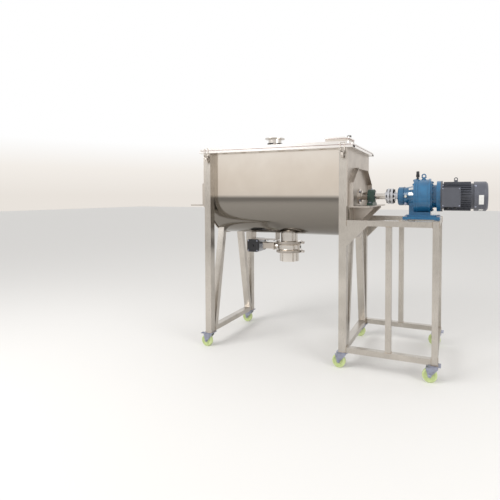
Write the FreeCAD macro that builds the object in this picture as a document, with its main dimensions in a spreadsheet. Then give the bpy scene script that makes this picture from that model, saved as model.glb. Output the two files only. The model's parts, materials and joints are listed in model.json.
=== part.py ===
import FreeCAD, Part
import math
import os
import Sketcher

# Ribbon blender: a U-shaped trough on a castored frame, with its drive on a side stand.
# X runs along the agitator shaft towards the motor, Y from the front to the hinge side, Z up.
# The origin is under the middle of the machine, on the floor. All sizes are millimetres.

doc = FreeCAD.newDocument("RibbonBlender")
sheet = doc.addObject("Spreadsheet::Sheet", "Sizes")
nodes = []
sized_rows = []


# ---------------------------------------------------------------- sizes that know their expression

class Dim:
    """A length or angle that carries both its number and the sheet expression behind it."""

    def __init__(self, number, text):
        self.number = float(number)
        self.text = text

    def __add__(self, other):
        return Dim(self.number + number(other), f"({self.text} + {text(other)})")

    def __radd__(self, other):
        return Dim(number(other) + self.number, f"({text(other)} + {self.text})")

    def __sub__(self, other):
        return Dim(self.number - number(other), f"({self.text} - {text(other)})")

    def __rsub__(self, other):
        return Dim(number(other) - self.number, f"({text(other)} - {self.text})")

    def __mul__(self, other):
        return Dim(self.number * number(other), f"({self.text} * {text(other)})")

    __rmul__ = __mul__

    def __truediv__(self, other):
        return Dim(self.number / number(other), f"({self.text} / {text(other)})")

    def __neg__(self):
        return Dim(-self.number, f"(0 - {self.text})")


def number(value):
    return value.number if isinstance(value, Dim) else float(value)


def text(value):
    return value.text if isinstance(value, Dim) else str(float(value))


def size(alias, value):
    """Write one driving size to the sheet and return it as a Dim."""
    sized_rows.append(alias)
    row = len(sized_rows)
    sheet.set(f"A{row}", alias)
    sheet.set(f"B{row}", str(value))
    sheet.setAlias(f"B{row}", alias)
    return Dim(value, f"Sizes.{alias}")


def root(value):
    return Dim(math.sqrt(number(value)), f"sqrt({text(value)})")


def tangent(angle):
    return Dim(math.tan(math.radians(number(angle))), f"tan({text(angle)})")


def cosine(angle):
    return Dim(math.cos(math.radians(number(angle))), f"cos({text(angle)})")


def sine(angle):
    return Dim(math.sin(math.radians(number(angle))), f"sin({text(angle)})")


# ---------------------------------------------------------------- building helpers

X_AXIS = FreeCAD.Vector(1, 0, 0)
Y_AXIS = FreeCAD.Vector(0, 1, 0)
Z_AXIS = FreeCAD.Vector(0, 0, 1)


def place(piece, at, turn=None):
    """Bind a piece's position to sizes; turn is an optional (axis, degrees)."""
    rotation = FreeCAD.Rotation(*turn) if turn else FreeCAD.Rotation()
    base = FreeCAD.Vector(*[number(value) for value in at])
    piece.Placement = FreeCAD.Placement(base, rotation)
    for letter, value in zip("xyz", at):
        piece.setExpression(f"Placement.Base.{letter}", text(value))
    return piece


def node(piece, label):
    """Name a finished sub-part; its label is the name of its file."""
    piece.Label = label
    nodes.append(piece)
    return piece


def bar(extent, at):
    """Solid rectangular block."""
    block = doc.addObject("Part::Box", "Bar")
    for side, value in zip(("Length", "Width", "Height"), extent):
        block.setExpression(side, text(value))
    return place(block, at)


def tube(axis, extent, wall, at):
    """Rectangular tube, open at both ends along its axis."""
    outer = bar(extent, at)
    inner_extent = [value if letter == axis else value - 2 * wall for letter, value in zip("xyz", extent)]
    inner_at = [value if letter == axis else value + wall for letter, value in zip("xyz", at)]
    return cut(outer, bar(inner_extent, inner_at))


def cylinder(axis, radius, length, at):
    """Solid round bar from its start face along an axis."""
    rod = doc.addObject("Part::Cylinder", "Rod")
    rod.setExpression("Radius", text(radius))
    rod.setExpression("Height", text(length))
    turns = {"x": (Y_AXIS, 90), "y": (X_AXIS, -90), "z": None}
    return place(rod, at, turns[axis])


def hexagon(axis, across_flats, length, at):
    """Hexagonal head or nut from its start face along an axis."""
    head = doc.addObject("Part::Prism", "Hexagon")
    head.Polygon = 6
    head.setExpression("Circumradius", text(across_flats / math.sqrt(3)))
    head.setExpression("Height", text(length))
    turns = {"x": (Y_AXIS, 90), "y": (X_AXIS, -90), "z": None}
    return place(head, at, turns[axis])


def cut(base, *tools):
    for tool in tools:
        result = doc.addObject("Part::Cut", "Cut")
        result.Base = base
        result.Tool = tool
        base = result
    return base


def fuse(*pieces):
    result = doc.addObject("Part::MultiFuse", "Fuse")
    result.Shapes = list(pieces)
    return result


def group(*pieces):
    """Separate solids kept together in one node."""
    result = doc.addObject("Part::Compound", "Group")
    result.Links = list(pieces)
    return result


def sketch_in(body, plane, offset=0):
    """New sketch on one of the body's own origin planes, moved along its normal."""
    sketch = body.newObject("Sketcher::SketchObject", "Sketch")
    support = [item for item in body.Origin.OriginFeatures if item.Role == f"{plane}_Plane"][0]
    sketch.AttachmentSupport = [(support, "")]
    sketch.MapMode = "FlatFace"
    if number(offset):
        sketch.setExpression("AttachmentOffset.Base.z", text(offset))
    return sketch


def pin_point(sketch, edge, corner, x, y):
    """Tie a sketch point to its place with dimensions, or to an axis where it lies on one."""
    for kind, axis, value in (("DistanceX", -2, x), ("DistanceY", -1, y)):
        if not isinstance(value, Dim) and value == 0:
            sketch.addConstraint(Sketcher.Constraint("PointOnObject", edge, corner, axis))
            continue
        index = sketch.addConstraint(Sketcher.Constraint(kind, -1, 1, edge, corner, number(value)))
        sketch.setExpression(f"Constraints[{index}]", text(value))


def arc_centre(start, end, radius, side):
    """Centre of the arc of a radius between two points, on the left (1) or right (-1) of the chord."""
    across = (end[0] - start[0], end[1] - start[1])
    chord = math.hypot(*across)
    rise = math.sqrt(max(radius ** 2 - chord ** 2 / 4, 0)) * side
    return ((start[0] + end[0]) / 2 - across[1] / chord * rise,
            (start[1] + end[1]) / 2 + across[0] / chord * rise)


def outline(sketch, points):
    """Closed profile. A point is (x, y), or (x, y, radius, side) where an arc leads to it."""
    first = sketch.GeometryCount
    count = len(points)
    ends = []
    for index, point in enumerate(points):
        before = points[index - 1]
        start = (number(before[0]), number(before[1]))
        end = (number(point[0]), number(point[1]))
        if len(point) == 2:
            sketch.addGeometry(Part.LineSegment(FreeCAD.Vector(*start, 0), FreeCAD.Vector(*end, 0)))
            ends.append((1, 2))
            continue
        radius, side = number(point[2]), point[3]
        centre = arc_centre(start, end, radius, side)
        angles = [math.atan2(spot[1] - centre[1], spot[0] - centre[0]) for spot in (start, end)]
        circle = Part.Circle(FreeCAD.Vector(*centre, 0), Z_AXIS, radius)
        if side < 0:
            angles.reverse()
        sketch.addGeometry(Part.ArcOfCircle(circle, *angles))
        ends.append((1, 2) if side > 0 else (2, 1))
    for index, point in enumerate(points):
        edge = first + index
        following = first + (index + 1) % count
        next_start = ends[(index + 1) % count][0]
        sketch.addConstraint(Sketcher.Constraint("Coincident", edge, ends[index][1], following, next_start))
        pin_point(sketch, edge, ends[index][1], point[0], point[1])
        if len(point) > 2:
            radius_index = sketch.addConstraint(Sketcher.Constraint("Radius", edge, number(point[2])))
            sketch.setExpression(f"Constraints[{radius_index}]", text(point[2]))


def round_hole(sketch, x, y, radius):
    """Circle in a sketch: a hole inside an outline, or a round profile by itself."""
    middle = FreeCAD.Vector(number(x), number(y), 0)
    edge = sketch.addGeometry(Part.Circle(middle, Z_AXIS, number(radius)))
    pin_point(sketch, edge, 3, x, y)
    index = sketch.addConstraint(Sketcher.Constraint("Radius", edge, number(radius)))
    sketch.setExpression(f"Constraints[{index}]", text(radius))


def rectangle(left_side, low_side, right_side, high_side):
    return [(left_side, low_side), (right_side, low_side), (right_side, high_side), (left_side, high_side)]


def pad(body, sketch, length):
    feature = body.newObject("PartDesign::Pad", "Pad")
    feature.Profile = sketch
    feature.setExpression("Length", text(length))
    feature.Reversed = sketch.AttachmentSupport[0][0].Role == "XZ_Plane"
    sketch.Visibility = False
    return feature


def profiled(plane, profile, length, at, holes=(), inner=()):
    """Plate or section: an outline on a plane, drawn out along the plane's axis.

    Holes are (x, y, radius); inner is a list of further outlines left open.
    """
    body = doc.addObject("PartDesign::Body", "Plate")
    sketch = sketch_in(body, plane)
    outline(sketch, profile)
    for hole in holes:
        round_hole(sketch, *hole)
    for opening in inner:
        outline(sketch, opening)
    pad(body, sketch, length)
    return place(body, at)


def turned(axis, profile, at):
    """Turned piece. Points are (along, radius) about X, (radius, along) about Y or Z."""
    plane, line = {"x": ("XZ", "H_Axis"), "y": ("XY", "V_Axis"), "z": ("XZ", "V_Axis")}[axis]
    body = doc.addObject("PartDesign::Body", "Turned")
    sketch = sketch_in(body, plane)
    outline(sketch, profile)
    feature = body.newObject("PartDesign::Revolution", "Revolution")
    feature.Profile = sketch
    feature.ReferenceAxis = (sketch, [line])
    feature.Angle = 360
    return place(body, at)


def ring(axis, outer, inner, length, at):
    """Plain turned ring from its start face along an axis."""
    along = rectangle(0, inner, length, outer)
    across = rectangle(inner, 0, outer, length)
    return turned(axis, along if axis == "x" else across, at)


def repeat_round(body, feature, role, count):
    """Polar pattern of a feature about one of the body's own axes."""
    pattern = body.newObject("PartDesign::PolarPattern", "Pattern")
    pattern.Originals = [feature]
    pattern.Axis = ([item for item in body.Origin.OriginFeatures if item.Role == f"{role}_Axis"][0], [""])
    pattern.Angle = 360
    pattern.Occurrences = count
    body.Tip = pattern
    return pattern


# ---------------------------------------------------------------- driving sizes

leg = size("leg", 70)
stand_tube = size("stand_tube", 50)
tube_wall = size("tube_wall", 3)
brace_tube = size("brace_tube", 50)
brace_head = size("brace_head", 200)
brace_rise = size("brace_rise", 260)
brace_spread = size("brace_spread", 1.05)
frame_depth = size("frame_depth", 940)
trough_length = size("trough_length", 1500)
stand_length = size("stand_length", 786)
stand_middle = size("stand_middle", 350)
drive_beam_station = size("drive_beam_station", 460)
caster_height = size("caster_height", 155)
shaft_height = size("shaft_height", 1572)
wall_height = size("wall_height", 436)
gear_centre_height = size("gear_centre_height", 213)
gusset_side = size("gusset_side", 190)
gusset_sheet = size("gusset_sheet", 6)

shell_radius = size("shell_radius", 400)
shell_sheet = size("shell_sheet", 4)
end_plate = size("end_plate", 10)
end_plate_lip = size("end_plate_lip", 10)
rim_height = size("rim_height", 23)
rim_front = size("rim_front", 15)
rim_end = size("rim_end", 50)
gasket_height = size("gasket_height", 4)
gasket_inset = size("gasket_inset", 12)
gasket_width = size("gasket_width", 24)
lid_sheet = size("lid_sheet", 3)
lid_edge = size("lid_edge", 11)
lid_raise = size("lid_raise", 25)
lid_border = size("lid_border", 45)
hinge_out = size("hinge_out", 16)

shelf_depth = size("shelf_depth", 190)
shelf_sheet = size("shelf_sheet", 12)
shelf_half = size("shelf_half", 390)
shelf_drop = size("shelf_drop", 89)
rib_sheet = size("rib_sheet", 8)
rib_depth = size("rib_depth", 45)
rib_half = size("rib_half", 430)
rib_top_half = size("rib_top_half", 215)
rib_straight = size("rib_straight", 213)
rib_slope = size("rib_slope", 34)
web_half = size("web_half", 210)
web_drop = size("web_drop", 180)

shaft_radius = size("shaft_radius", 44)
journal_radius = size("journal_radius", 37.5)
drive_end_radius = size("drive_end_radius", 30)
shaft_shoulder = size("shaft_shoulder", 22)
shaft_taper = size("shaft_taper", 8)
journal_overrun = size("journal_overrun", 5)
running_gap = size("running_gap", 0.05)
seat_gap = size("seat_gap", 0.02)
seat_clearance = size("seat_clearance", 0.1)
bearing_station = size("bearing_station", 128)
bearing_width = size("bearing_width", 58)
bearing_boss = size("bearing_boss", 70)
bearing_radius = size("bearing_radius", 67)
boss_radius = size("boss_radius", 59)
bearing_foot_half = size("bearing_foot_half", 112)
bearing_bolt_half = size("bearing_bolt_half", 94)
bearing_fillet = size("bearing_fillet", 12)
bearing_foot = size("bearing_foot", 24)
seal_length = size("seal_length", 34)
seal_flange = size("seal_flange", 12)
seal_radius = size("seal_radius", 56)
seal_flange_radius = size("seal_flange_radius", 76)

ribbon_clearance = size("ribbon_clearance", 6)
ribbon_step = size("ribbon_step", 175)
ribbon_width = size("ribbon_width", 62)
ribbon_sheet = size("ribbon_sheet", 8)
ribbon_end_gap = size("ribbon_end_gap", 30)
arm_radius = size("arm_radius", 16)
arm_overrun = size("arm_overrun", 20)

coupling_station = size("coupling_station", 266)
coupling_half = size("coupling_half", 43)
coupling_gap = size("coupling_gap", 10)
coupling_radius = size("coupling_radius", 76)
coupling_hub = size("coupling_hub", 45)
coupling_pin_circle = size("coupling_pin_circle", 61)
bolt_radius = size("bolt_radius", 8)
bolt_flats = size("bolt_flats", 24)
head_height = size("head_height", 10)
nut_height = size("nut_height", 12)
gear_station = size("gear_station", 387)
gear_cover = size("gear_cover", 52)
gear_neck = size("gear_neck", 117)
gear_ring = size("gear_ring", 130)
gear_input = size("gear_input", 53)
gear_flange = size("gear_flange", 34)
gear_ring_radius = size("gear_ring_radius", 165)
gear_bore = size("gear_bore", 122)
ring_circle = size("ring_circle", 120)
ring_pin = size("ring_pin", 4.5)
ring_pin_count = 36
throw = size("throw", 2.2)
mesh_clearance = size("mesh_clearance", 0.3)
cam_radius = size("cam_radius", 34)
cycloid_sheet = size("cycloid_sheet", 26)
cycloid_gap = size("cycloid_gap", 6)
drive_circle = size("drive_circle", 68)
drive_pin = size("drive_pin", 9)
drive_pin_count = 8
flank_steps = 12
gear_disc = size("gear_disc", 96)
disc_gap = size("disc_gap", 3)
disc_back = size("disc_back", 4)
disc_front = size("disc_front", 20)
gear_nose = size("gear_nose", 88)
gear_nose_chamfer = size("gear_nose_chamfer", 8)
gear_neck_start = size("gear_neck_start", 80)
gear_neck_end = size("gear_neck_end", 100)
gear_rim = size("gear_rim", 18)
gear_waist = size("gear_waist", 6)
gear_foot = size("gear_foot", 328)
gear_foot_sheet = size("gear_foot_sheet", 24)
gear_foot_start = size("gear_foot_start", 56)
gear_foot_half = size("gear_foot_half", 150)
gear_foot_edge = size("gear_foot_edge", 22)
gear_step = size("gear_step", 16)
gear_step_inset = size("gear_step_inset", 25)
gear_web_half = size("gear_web_half", 75)
gear_web_top = size("gear_web_top", 60)
gear_web_inset = size("gear_web_inset", 50)
input_rim = size("input_rim", 14)
input_rim_radius = size("input_rim_radius", 143)
input_neck_radius = size("input_neck_radius", 108)
motor_flange_radius = size("motor_flange_radius", 142)
motor_flange = size("motor_flange", 16)
input_hollow_radius = size("input_hollow_radius", 92)
input_wall = size("input_wall", 24)
eye_radius = size("eye_radius", 12)
eye_station = size("eye_station", 78)
eye_proud = size("eye_proud", 10)
plug_drop = size("plug_drop", 72)
breather_radius = size("breather_radius", 14)
breather_cap = size("breather_cap", 54)
motor_shaft_radius = size("motor_shaft_radius", 19)
motor_length = size("motor_length", 394)
motor_radius = size("motor_radius", 133)
motor_shell = size("motor_shell", 117)
motor_bore = size("motor_bore", 104)
fan_cover_length = size("fan_cover_length", 112)
fan_cover_sheet = size("fan_cover_sheet", 2)
fan_cover_round = size("fan_cover_round", 14)
fin_start = size("fin_start", 26)
fin_sheet = size("fin_sheet", 4)
shield_rim = size("shield_rim", 12)
shield_hub_radius = size("shield_hub_radius", 60)
shield_depth = size("shield_depth", 26)
rotor_radius = size("rotor_radius", 68)
air_gap = size("air_gap", 1)
core_length = size("core_length", 170)
core_start = size("core_start", 60)
tail_length = size("tail_length", 68)
fan_start = size("fan_start", 32)
fan_hub = size("fan_hub", 38)
fan_radius = size("fan_radius", 110)
fan_sheet = size("fan_sheet", 4)
fan_width = size("fan_width", 40)
slot_width = size("slot_width", 10)
slot_near = size("slot_near", 40)
slot_far = size("slot_far", 104)
box_side = size("box_side", 150)
box_depth = size("box_depth", 80)
box_sunk = size("box_sunk", 24)
box_lid = size("box_lid", 10)
box_lip = size("box_lip", 3)
box_drop = size("box_drop", 16)

caster_wheel = size("caster_wheel", 62.5)
caster_width = size("caster_width", 36)
caster_trail = size("caster_trail", 38)
caster_plate = size("caster_plate", 6)
caster_race = size("caster_race", 10)
fork_sheet = size("fork_sheet", 3)
fork_gap = size("fork_gap", 3)

outlet_radius = size("outlet_radius", 90)
outlet_sheet = size("outlet_sheet", 4)
saddle = size("saddle", 30)
disc_sheet = size("disc_sheet", 8)
stem_overrun = size("stem_overrun", 45)
stem_tail = size("stem_tail", 12)
stem_boss = size("stem_boss", 26)
stem_boss_reach = size("stem_boss_reach", 165)
stem_boss_inset = size("stem_boss_inset", 1)
sleeve_radius = size("sleeve_radius", 22)
sleeve_length = size("sleeve_length", 76)
sleeve_station = size("sleeve_station", 269)
disc_clearance = size("disc_clearance", 0.6)
ferrule_step = size("ferrule_step", 14)
valve_groove = size("valve_groove", 12)
valve_shoulder = size("valve_shoulder", 8)
clamp_lug = size("clamp_lug", 34)
clamp_lug_root = size("clamp_lug_root", 5)
clamp_lug_width = size("clamp_lug_width", 26)
clamp_rod = size("clamp_rod", 5)
clamp_rod_length = size("clamp_rod_length", 60)
outlet_drop = size("outlet_drop", 82)
valve_flange = size("valve_flange", 22)
valve_body = size("valve_body", 72)
valve_radius = size("valve_radius", 127)
valve_bore = size("valve_bore", 86)
valve_flange_radius = size("valve_flange_radius", 140)
outlet_pipe = size("outlet_pipe", 94)
outlet_pipe_radius = size("outlet_pipe_radius", 104)
stem_radius = size("stem_radius", 14)
actuator_station = size("actuator_station", 395)
actuator_half = size("actuator_half", 64)
actuator_length = size("actuator_length", 190)

# ---------------------------------------------------------------- places worked out from the sizes

drive_length = (gear_station + gear_cover + gear_neck + gear_ring + gear_input + gear_flange
                + motor_length)
overall = shelf_depth + end_plate + trough_length + end_plate + drive_length
left = shelf_depth + end_plate - overall / 2
right = left + trough_length
middle = left + trough_length / 2
left_face = left - end_plate
right_face = right + end_plate
front = -frame_depth / 2
back = frame_depth / 2
stand_right = right + stand_length
stand_mid = right + stand_middle
drive_beam = right + drive_beam_station
rim_bottom = shaft_height + wall_height
stand_top = shaft_height - gear_centre_height
ribbon_reach = trough_length / 2 - ribbon_end_gap
rim_top = rim_bottom + rim_height
lid_bottom = rim_top + gasket_height
lid_top = lid_bottom + lid_edge + lid_raise
rim_left = left - rim_end
rim_right = right + rim_end + end_plate
rim_y = frame_depth / 2 + rim_front
shelf_top = shaft_height - shelf_drop
shaft_line = (left, 0, shaft_height)


# ---------------------------------------------------------------- frame and stand

def trough_legs():
    height = rim_bottom - caster_height
    for x in (left, right - leg):
        for y in (front, back - leg):
            yield tube("z", (leg, leg, height), tube_wall, (x, y, caster_height))


def trough_base_rails():
    for x in (left, right - leg):
        yield tube("y", (leg, frame_depth - 2 * leg, stand_tube), tube_wall, (x, front + leg, caster_height))


def sloped_section(inset, x, depth, side):
    """One leaning bar in the plane of an end frame, from beside a leg up under the trough."""
    foot = (frame_depth / 2 - leg) * side
    head = brace_head * side
    low = caster_height + stand_tube
    high = shaft_height - brace_rise
    step = inset * brace_spread
    inner_foot = foot - (brace_tube * brace_spread - step) * side
    inner_head = head - (brace_tube * brace_spread - step) * side
    profile = [(foot - step * side, low - inset), (head - step * side, high),
               (inner_head, high), (inner_foot, low - inset)]
    return profiled("YZ", profile, depth, (x, 0, 0))


def trough_braces():
    for x in (left, right - leg):
        for side in (-1, 1):
            outer = sloped_section(Dim(0, "0"), x, leg, side)
            hollow = sloped_section(tube_wall, x + tube_wall, leg - 2 * tube_wall, side)
            trough = cylinder("x", shell_radius, trough_length, shaft_line)
            rail = bar((leg, frame_depth, stand_tube), (x, front, caster_height))
            yield cut(outer, hollow, trough, rail)


node(group(*trough_legs(), *trough_base_rails(), *trough_braces()), "trough_frame")


def stand_legs():
    height = stand_top - stand_tube - caster_height - stand_tube
    for y in (front, back - stand_tube):
        yield tube("z", (stand_tube, stand_tube, height), tube_wall,
                   (stand_mid, y, caster_height + stand_tube))
        yield tube("z", (stand_tube, stand_tube, stand_top - caster_height), tube_wall,
                   (stand_right - stand_tube, y, caster_height))


def stand_long_rails():
    length = stand_length - stand_tube
    for y in (front, back - stand_tube):
        for z in (caster_height, stand_top - stand_tube):
            yield tube("x", (length, stand_tube, stand_tube), tube_wall, (right, y, z))


def stand_cross_rails():
    width = frame_depth - 2 * stand_tube
    for z in (caster_height, stand_top - stand_tube):
        yield tube("y", (stand_tube, width, stand_tube), tube_wall,
                   (stand_right - stand_tube, front + stand_tube, z))
    yield tube("y", (stand_tube, width, stand_tube), tube_wall,
               (drive_beam, front + stand_tube, stand_top - stand_tube))


def stand_gussets():
    low = stand_top - stand_tube
    for y in (front, back - gusset_sheet):
        corner = [(right, low), (right, low - gusset_side), (right + gusset_side, low)]
        yield profiled("XZ", corner, gusset_sheet, (0, y, 0))


node(group(*stand_legs(), *stand_long_rails(), *stand_cross_rails(), *stand_gussets()), "stand_frame")

# ---------------------------------------------------------------- trough

shell_inner = shell_radius - shell_sheet
ribbon_outer = shell_inner - ribbon_clearance
ribbon_inner = ribbon_outer - ribbon_step
trough_low = shaft_height - shell_radius
valve_top = trough_low - outlet_drop
ferrule_radius = valve_flange_radius - ferrule_step


def trough_shell():
    profile = [(-shell_radius, rim_bottom), (-shell_radius, shaft_height),
               (0, shaft_height - shell_radius, shell_radius, 1),
               (shell_radius, shaft_height, shell_radius, 1),
               (shell_radius, rim_bottom), (shell_inner, rim_bottom), (shell_inner, shaft_height),
               (0, shaft_height - shell_inner, shell_inner, -1),
               (-shell_inner, shaft_height, shell_inner, -1), (-shell_inner, rim_bottom)]
    shell = profiled("YZ", profile, trough_length, (left, 0, 0))
    outlet = cylinder("z", outlet_radius - outlet_sheet, 2 * saddle, (middle, 0, trough_low - saddle))
    return cut(shell, outlet)


def trough_end(x):
    lip = shell_radius + end_plate_lip
    step = shaft_height - root(lip * lip - shell_radius * shell_radius)
    profile = [(front, rim_bottom), (front, step), (-shell_radius, step),
               (0, shaft_height - lip, lip, 1), (shell_radius, step, lip, 1),
               (back, step), (back, rim_bottom)]
    return profiled("YZ", profile, end_plate, (x, 0, 0), [(0, shaft_height, journal_radius + end_plate)])


node(trough_shell(), "trough_shell")
node(group(trough_end(left_face), trough_end(right)), "end_plates")


def rim_bars():
    wide = rim_front + leg + shell_sheet
    for y in (-rim_y, rim_y - wide):
        yield tube("x", (rim_right - rim_left, wide, rim_height), tube_wall, (rim_left, y, rim_bottom))
    for x, across in ((rim_left, rim_end), (right, rim_end + end_plate)):
        yield tube("y", (across, 2 * (rim_y - wide), rim_height), tube_wall, (x, wide - rim_y, rim_bottom))


def lid_gasket():
    near = gasket_inset
    far = gasket_inset + gasket_width
    outer = rectangle(rim_left + near, near - rim_y, rim_right - near, rim_y - near)
    opening = rectangle(rim_left + far, far - rim_y, rim_right - far, rim_y - far)
    return profiled("XY", outer, gasket_height, (0, 0, rim_top), inner=[opening])


node(group(*rim_bars()), "trough_rim")
node(lid_gasket(), "lid_gasket")


# ---------------------------------------------------------------- bearing brackets, seals and bearings

def bracket_ribs(x):
    """Five mitred flat bars on edge round the bearing: two uprights, two slopes and a top."""
    rise = (rib_half - rib_top_half) * tangent(rib_slope)
    low_mitre = rib_sheet * tangent(45 - rib_slope / 2)
    high_mitre = rib_sheet * tangent(rib_slope / 2)
    knee = shelf_top + rib_straight
    outer = [(rib_half, shelf_top), (rib_half, knee), (rib_top_half, knee + rise)]
    inner = [(rib_half - rib_sheet, shelf_top), (rib_half - rib_sheet, knee - low_mitre),
             (rib_top_half - high_mitre, knee + rise - rib_sheet)]
    for side in (-1, 1):
        for index in (0, 1):
            corners = [outer[index], outer[index + 1], inner[index + 1], inner[index]]
            profile = [(y * side, z) for y, z in corners]
            yield profiled("YZ", profile, rib_depth, (x, 0, 0))
    top = [(-outer[2][0], outer[2][1]), outer[2], inner[2], (-inner[2][0], inner[2][1])]
    yield profiled("YZ", top, rib_depth, (x, 0, 0))


def bearing_bracket(side, face):
    """Shelf on two webs, welded to an end plate; side is 1 at the motor end."""
    start = face if side > 0 else face - shelf_depth
    rib_start = face if side > 0 else face - rib_depth
    shelf_low = shelf_top - shelf_sheet
    bolt_x = face + bearing_station * side
    holes = [(bolt_x, y, bolt_radius + running_gap) for y in (-bearing_bolt_half, bearing_bolt_half)]
    shelf = rectangle(start, -rib_half, start + shelf_depth, rib_half)
    yield profiled("XY", shelf, shelf_sheet, (0, 0, shelf_low), holes)
    tip = face + (shelf_depth - rib_sheet) * side
    web_foot = face + 2 * rib_sheet * side
    corner = [(face, shelf_low), (face, shelf_low - web_drop), (web_foot, shelf_low - web_drop),
              (tip, shelf_low - 2 * rib_sheet), (tip, shelf_low)]
    for y in (-web_half, web_half - rib_sheet):
        yield profiled("XZ", corner, rib_sheet, (0, y, 0))
    yield from bracket_ribs(rib_start)


def pillow_block(x):
    """Cast bearing block: foot, arched housing and a wider turned boss, bored for the shaft."""
    foot_top = shelf_top + bearing_foot
    flank = bearing_radius + bearing_fillet
    profile = [(-bearing_foot_half, shelf_top), (bearing_foot_half, shelf_top),
               (bearing_foot_half, foot_top), (flank, foot_top),
               (bearing_radius, foot_top + bearing_fillet), (bearing_radius, shaft_height),
               (0, shaft_height + bearing_radius, bearing_radius, 1),
               (-bearing_radius, shaft_height, bearing_radius, 1),
               (-bearing_radius, foot_top + bearing_fillet), (-flank, foot_top),
               (-bearing_foot_half, foot_top)]
    bore = journal_radius + running_gap
    block = profiled("YZ", profile, bearing_width, (x - bearing_width / 2, 0, 0), [(0, shaft_height, bore)])
    boss = ring("x", boss_radius, bore, bearing_boss, (x - bearing_boss / 2, 0, shaft_height))
    bolt_holes = [cylinder("z", bolt_radius + running_gap, bearing_foot * 2, (x, y, shelf_top - shelf_sheet))
                  for y in (-bearing_bolt_half, bearing_bolt_half)]
    return cut(fuse(block, boss), *bolt_holes)


def bearing_bolts():
    """Bolt through the foot and the shelf, with its nut below."""
    nut_low = shelf_top - shelf_sheet - nut_height
    for x in (left_bearing, right_bearing):
        for y in (-bearing_bolt_half, bearing_bolt_half):
            head = hexagon("z", bolt_flats, head_height, (x, y, shelf_top + bearing_foot))
            shank = cylinder("z", bolt_radius, bearing_foot + shelf_sheet + nut_height, (x, y, nut_low))
            nut = hexagon("z", bolt_flats, nut_height, (x, y, nut_low))
            yield fuse(head, shank, nut)


def shaft_seal(side, face):
    """Packing housing bolted on the end plate round the shaft."""
    bore = journal_radius + running_gap
    nose = seal_length * side
    flange = seal_flange * side
    profile = [(0, bore), (nose, bore), (nose, seal_radius), (flange, seal_radius),
               (flange, seal_flange_radius), (0, seal_flange_radius)]
    return turned("x", profile, (face, 0, shaft_height))


left_bearing = left_face - bearing_station
right_bearing = right_face + bearing_station
node(group(*bearing_bracket(-1, left_face), *bearing_bracket(1, right_face)), "bearing_brackets")
node(group(shaft_seal(-1, left_face), shaft_seal(1, right_face)), "shaft_seals")
node(group(pillow_block(left_bearing), pillow_block(right_bearing)), "pillow_blocks")


# ---------------------------------------------------------------- agitator

def agitator_shaft():
    """Stepped shaft: thick between the end plates, journals outside, a smaller drive end."""
    near = shaft_shoulder
    far = trough_length - shaft_shoulder
    past_bearing = end_plate + bearing_station + bearing_boss / 2 + journal_overrun
    drive_step = trough_length + past_bearing
    end = trough_length + end_plate + coupling_station + coupling_half
    profile = [(-past_bearing, 0), (-past_bearing, journal_radius), (near, journal_radius),
               (near, shaft_radius), (far, shaft_radius), (far, journal_radius),
               (drive_step, journal_radius), (drive_step + shaft_taper, drive_end_radius),
               (end, drive_end_radius), (end, 0)]
    return turned("x", profile, shaft_line)


def ribbon(outer_radius, direction, left_handed, turn):
    """One turn of flat bar on edge, from the middle of the trough to one end."""
    body = doc.addObject("PartDesign::Body", "Ribbon")
    sketch = sketch_in(body, "XZ")
    half = ribbon_sheet / 2
    outline(sketch, rectangle(-half, outer_radius - ribbon_width, half, outer_radius))
    helix = body.newObject("PartDesign::AdditiveHelix", "Helix")
    helix.Profile = sketch
    helix.ReferenceAxis = (sketch, ["H_Axis"])
    helix.Mode = 0
    helix.setExpression("Pitch", text(ribbon_reach))
    helix.setExpression("Height", text(ribbon_reach))
    helix.LeftHanded = left_handed
    helix.Reversed = direction < 0
    return place(body, (middle, 0, shaft_height), (X_AXIS, turn))


outer_ribbons = [ribbon(ribbon_outer, 1, False, 0), ribbon(ribbon_outer, -1, True, 0)]
inner_ribbons = [ribbon(ribbon_inner, 1, True, 180), ribbon(ribbon_inner, -1, False, 180)]


def agitator_arms():
    """Round arms from the shaft to both ribbons, a quarter turn apart along the shaft."""
    for step in range(-4, 5):
        x = middle + ribbon_reach * step / 4
        outer_turn = 90 * abs(step)
        inner_turn = 180 - outer_turn
        for turn, reach in ((outer_turn, ribbon_outer), (inner_turn, ribbon_inner)):
            same_side = (outer_turn - inner_turn) % 360 == 0
            if same_side and reach is ribbon_inner:
                continue
            yield radial_arm(x, turn, reach - ribbon_width + arm_overrun)


def radial_arm(x, turn, reach):
    arm = doc.addObject("Part::Cylinder", "Arm")
    arm.setExpression("Radius", text(arm_radius))
    arm.setExpression("Height", text(reach))
    return place(arm, (x, 0, shaft_height), (X_AXIS, turn))


node(agitator_shaft(), "agitator_shaft")
node(group(*outer_ribbons), "outer_ribbons")
node(group(*inner_ribbons), "inner_ribbons")
shaft_body = cylinder("x", shaft_radius, trough_length, shaft_line)
arms = [cut(arm, shaft_body, *outer_ribbons, *inner_ribbons) for arm in agitator_arms()]
node(group(*arms), "agitator_arms")

# ---------------------------------------------------------------- coupling and gearbox

coupling_x = right_face + coupling_station
gear_x = right_face + gear_station
ring_x = gear_x + gear_cover + gear_neck
input_x = ring_x + gear_ring
cycloid_x = ring_x + disc_front + cycloid_gap
motor_x = input_x + gear_input + gear_flange
motor_end = motor_x + motor_length


def coupling_flange(x, side):
    """Half of the shaft coupling: a flange towards the gap and a hub away from it."""
    bore = drive_end_radius + seat_gap
    flange = coupling_half / 2
    hub_end = -coupling_half * side
    profile = [(0, bore), (0, coupling_radius), (-flange * side, coupling_radius),
               (-flange * side, coupling_hub), (hub_end, coupling_hub), (hub_end, bore)]
    half = turned("x", profile, (x, 0, shaft_height))
    pins = [cylinder("x", bolt_radius + seat_gap, coupling_half * 2, (x - coupling_half, y, z))
            for y, z in coupling_pin_places()]
    return cut(half, *pins)


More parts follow.
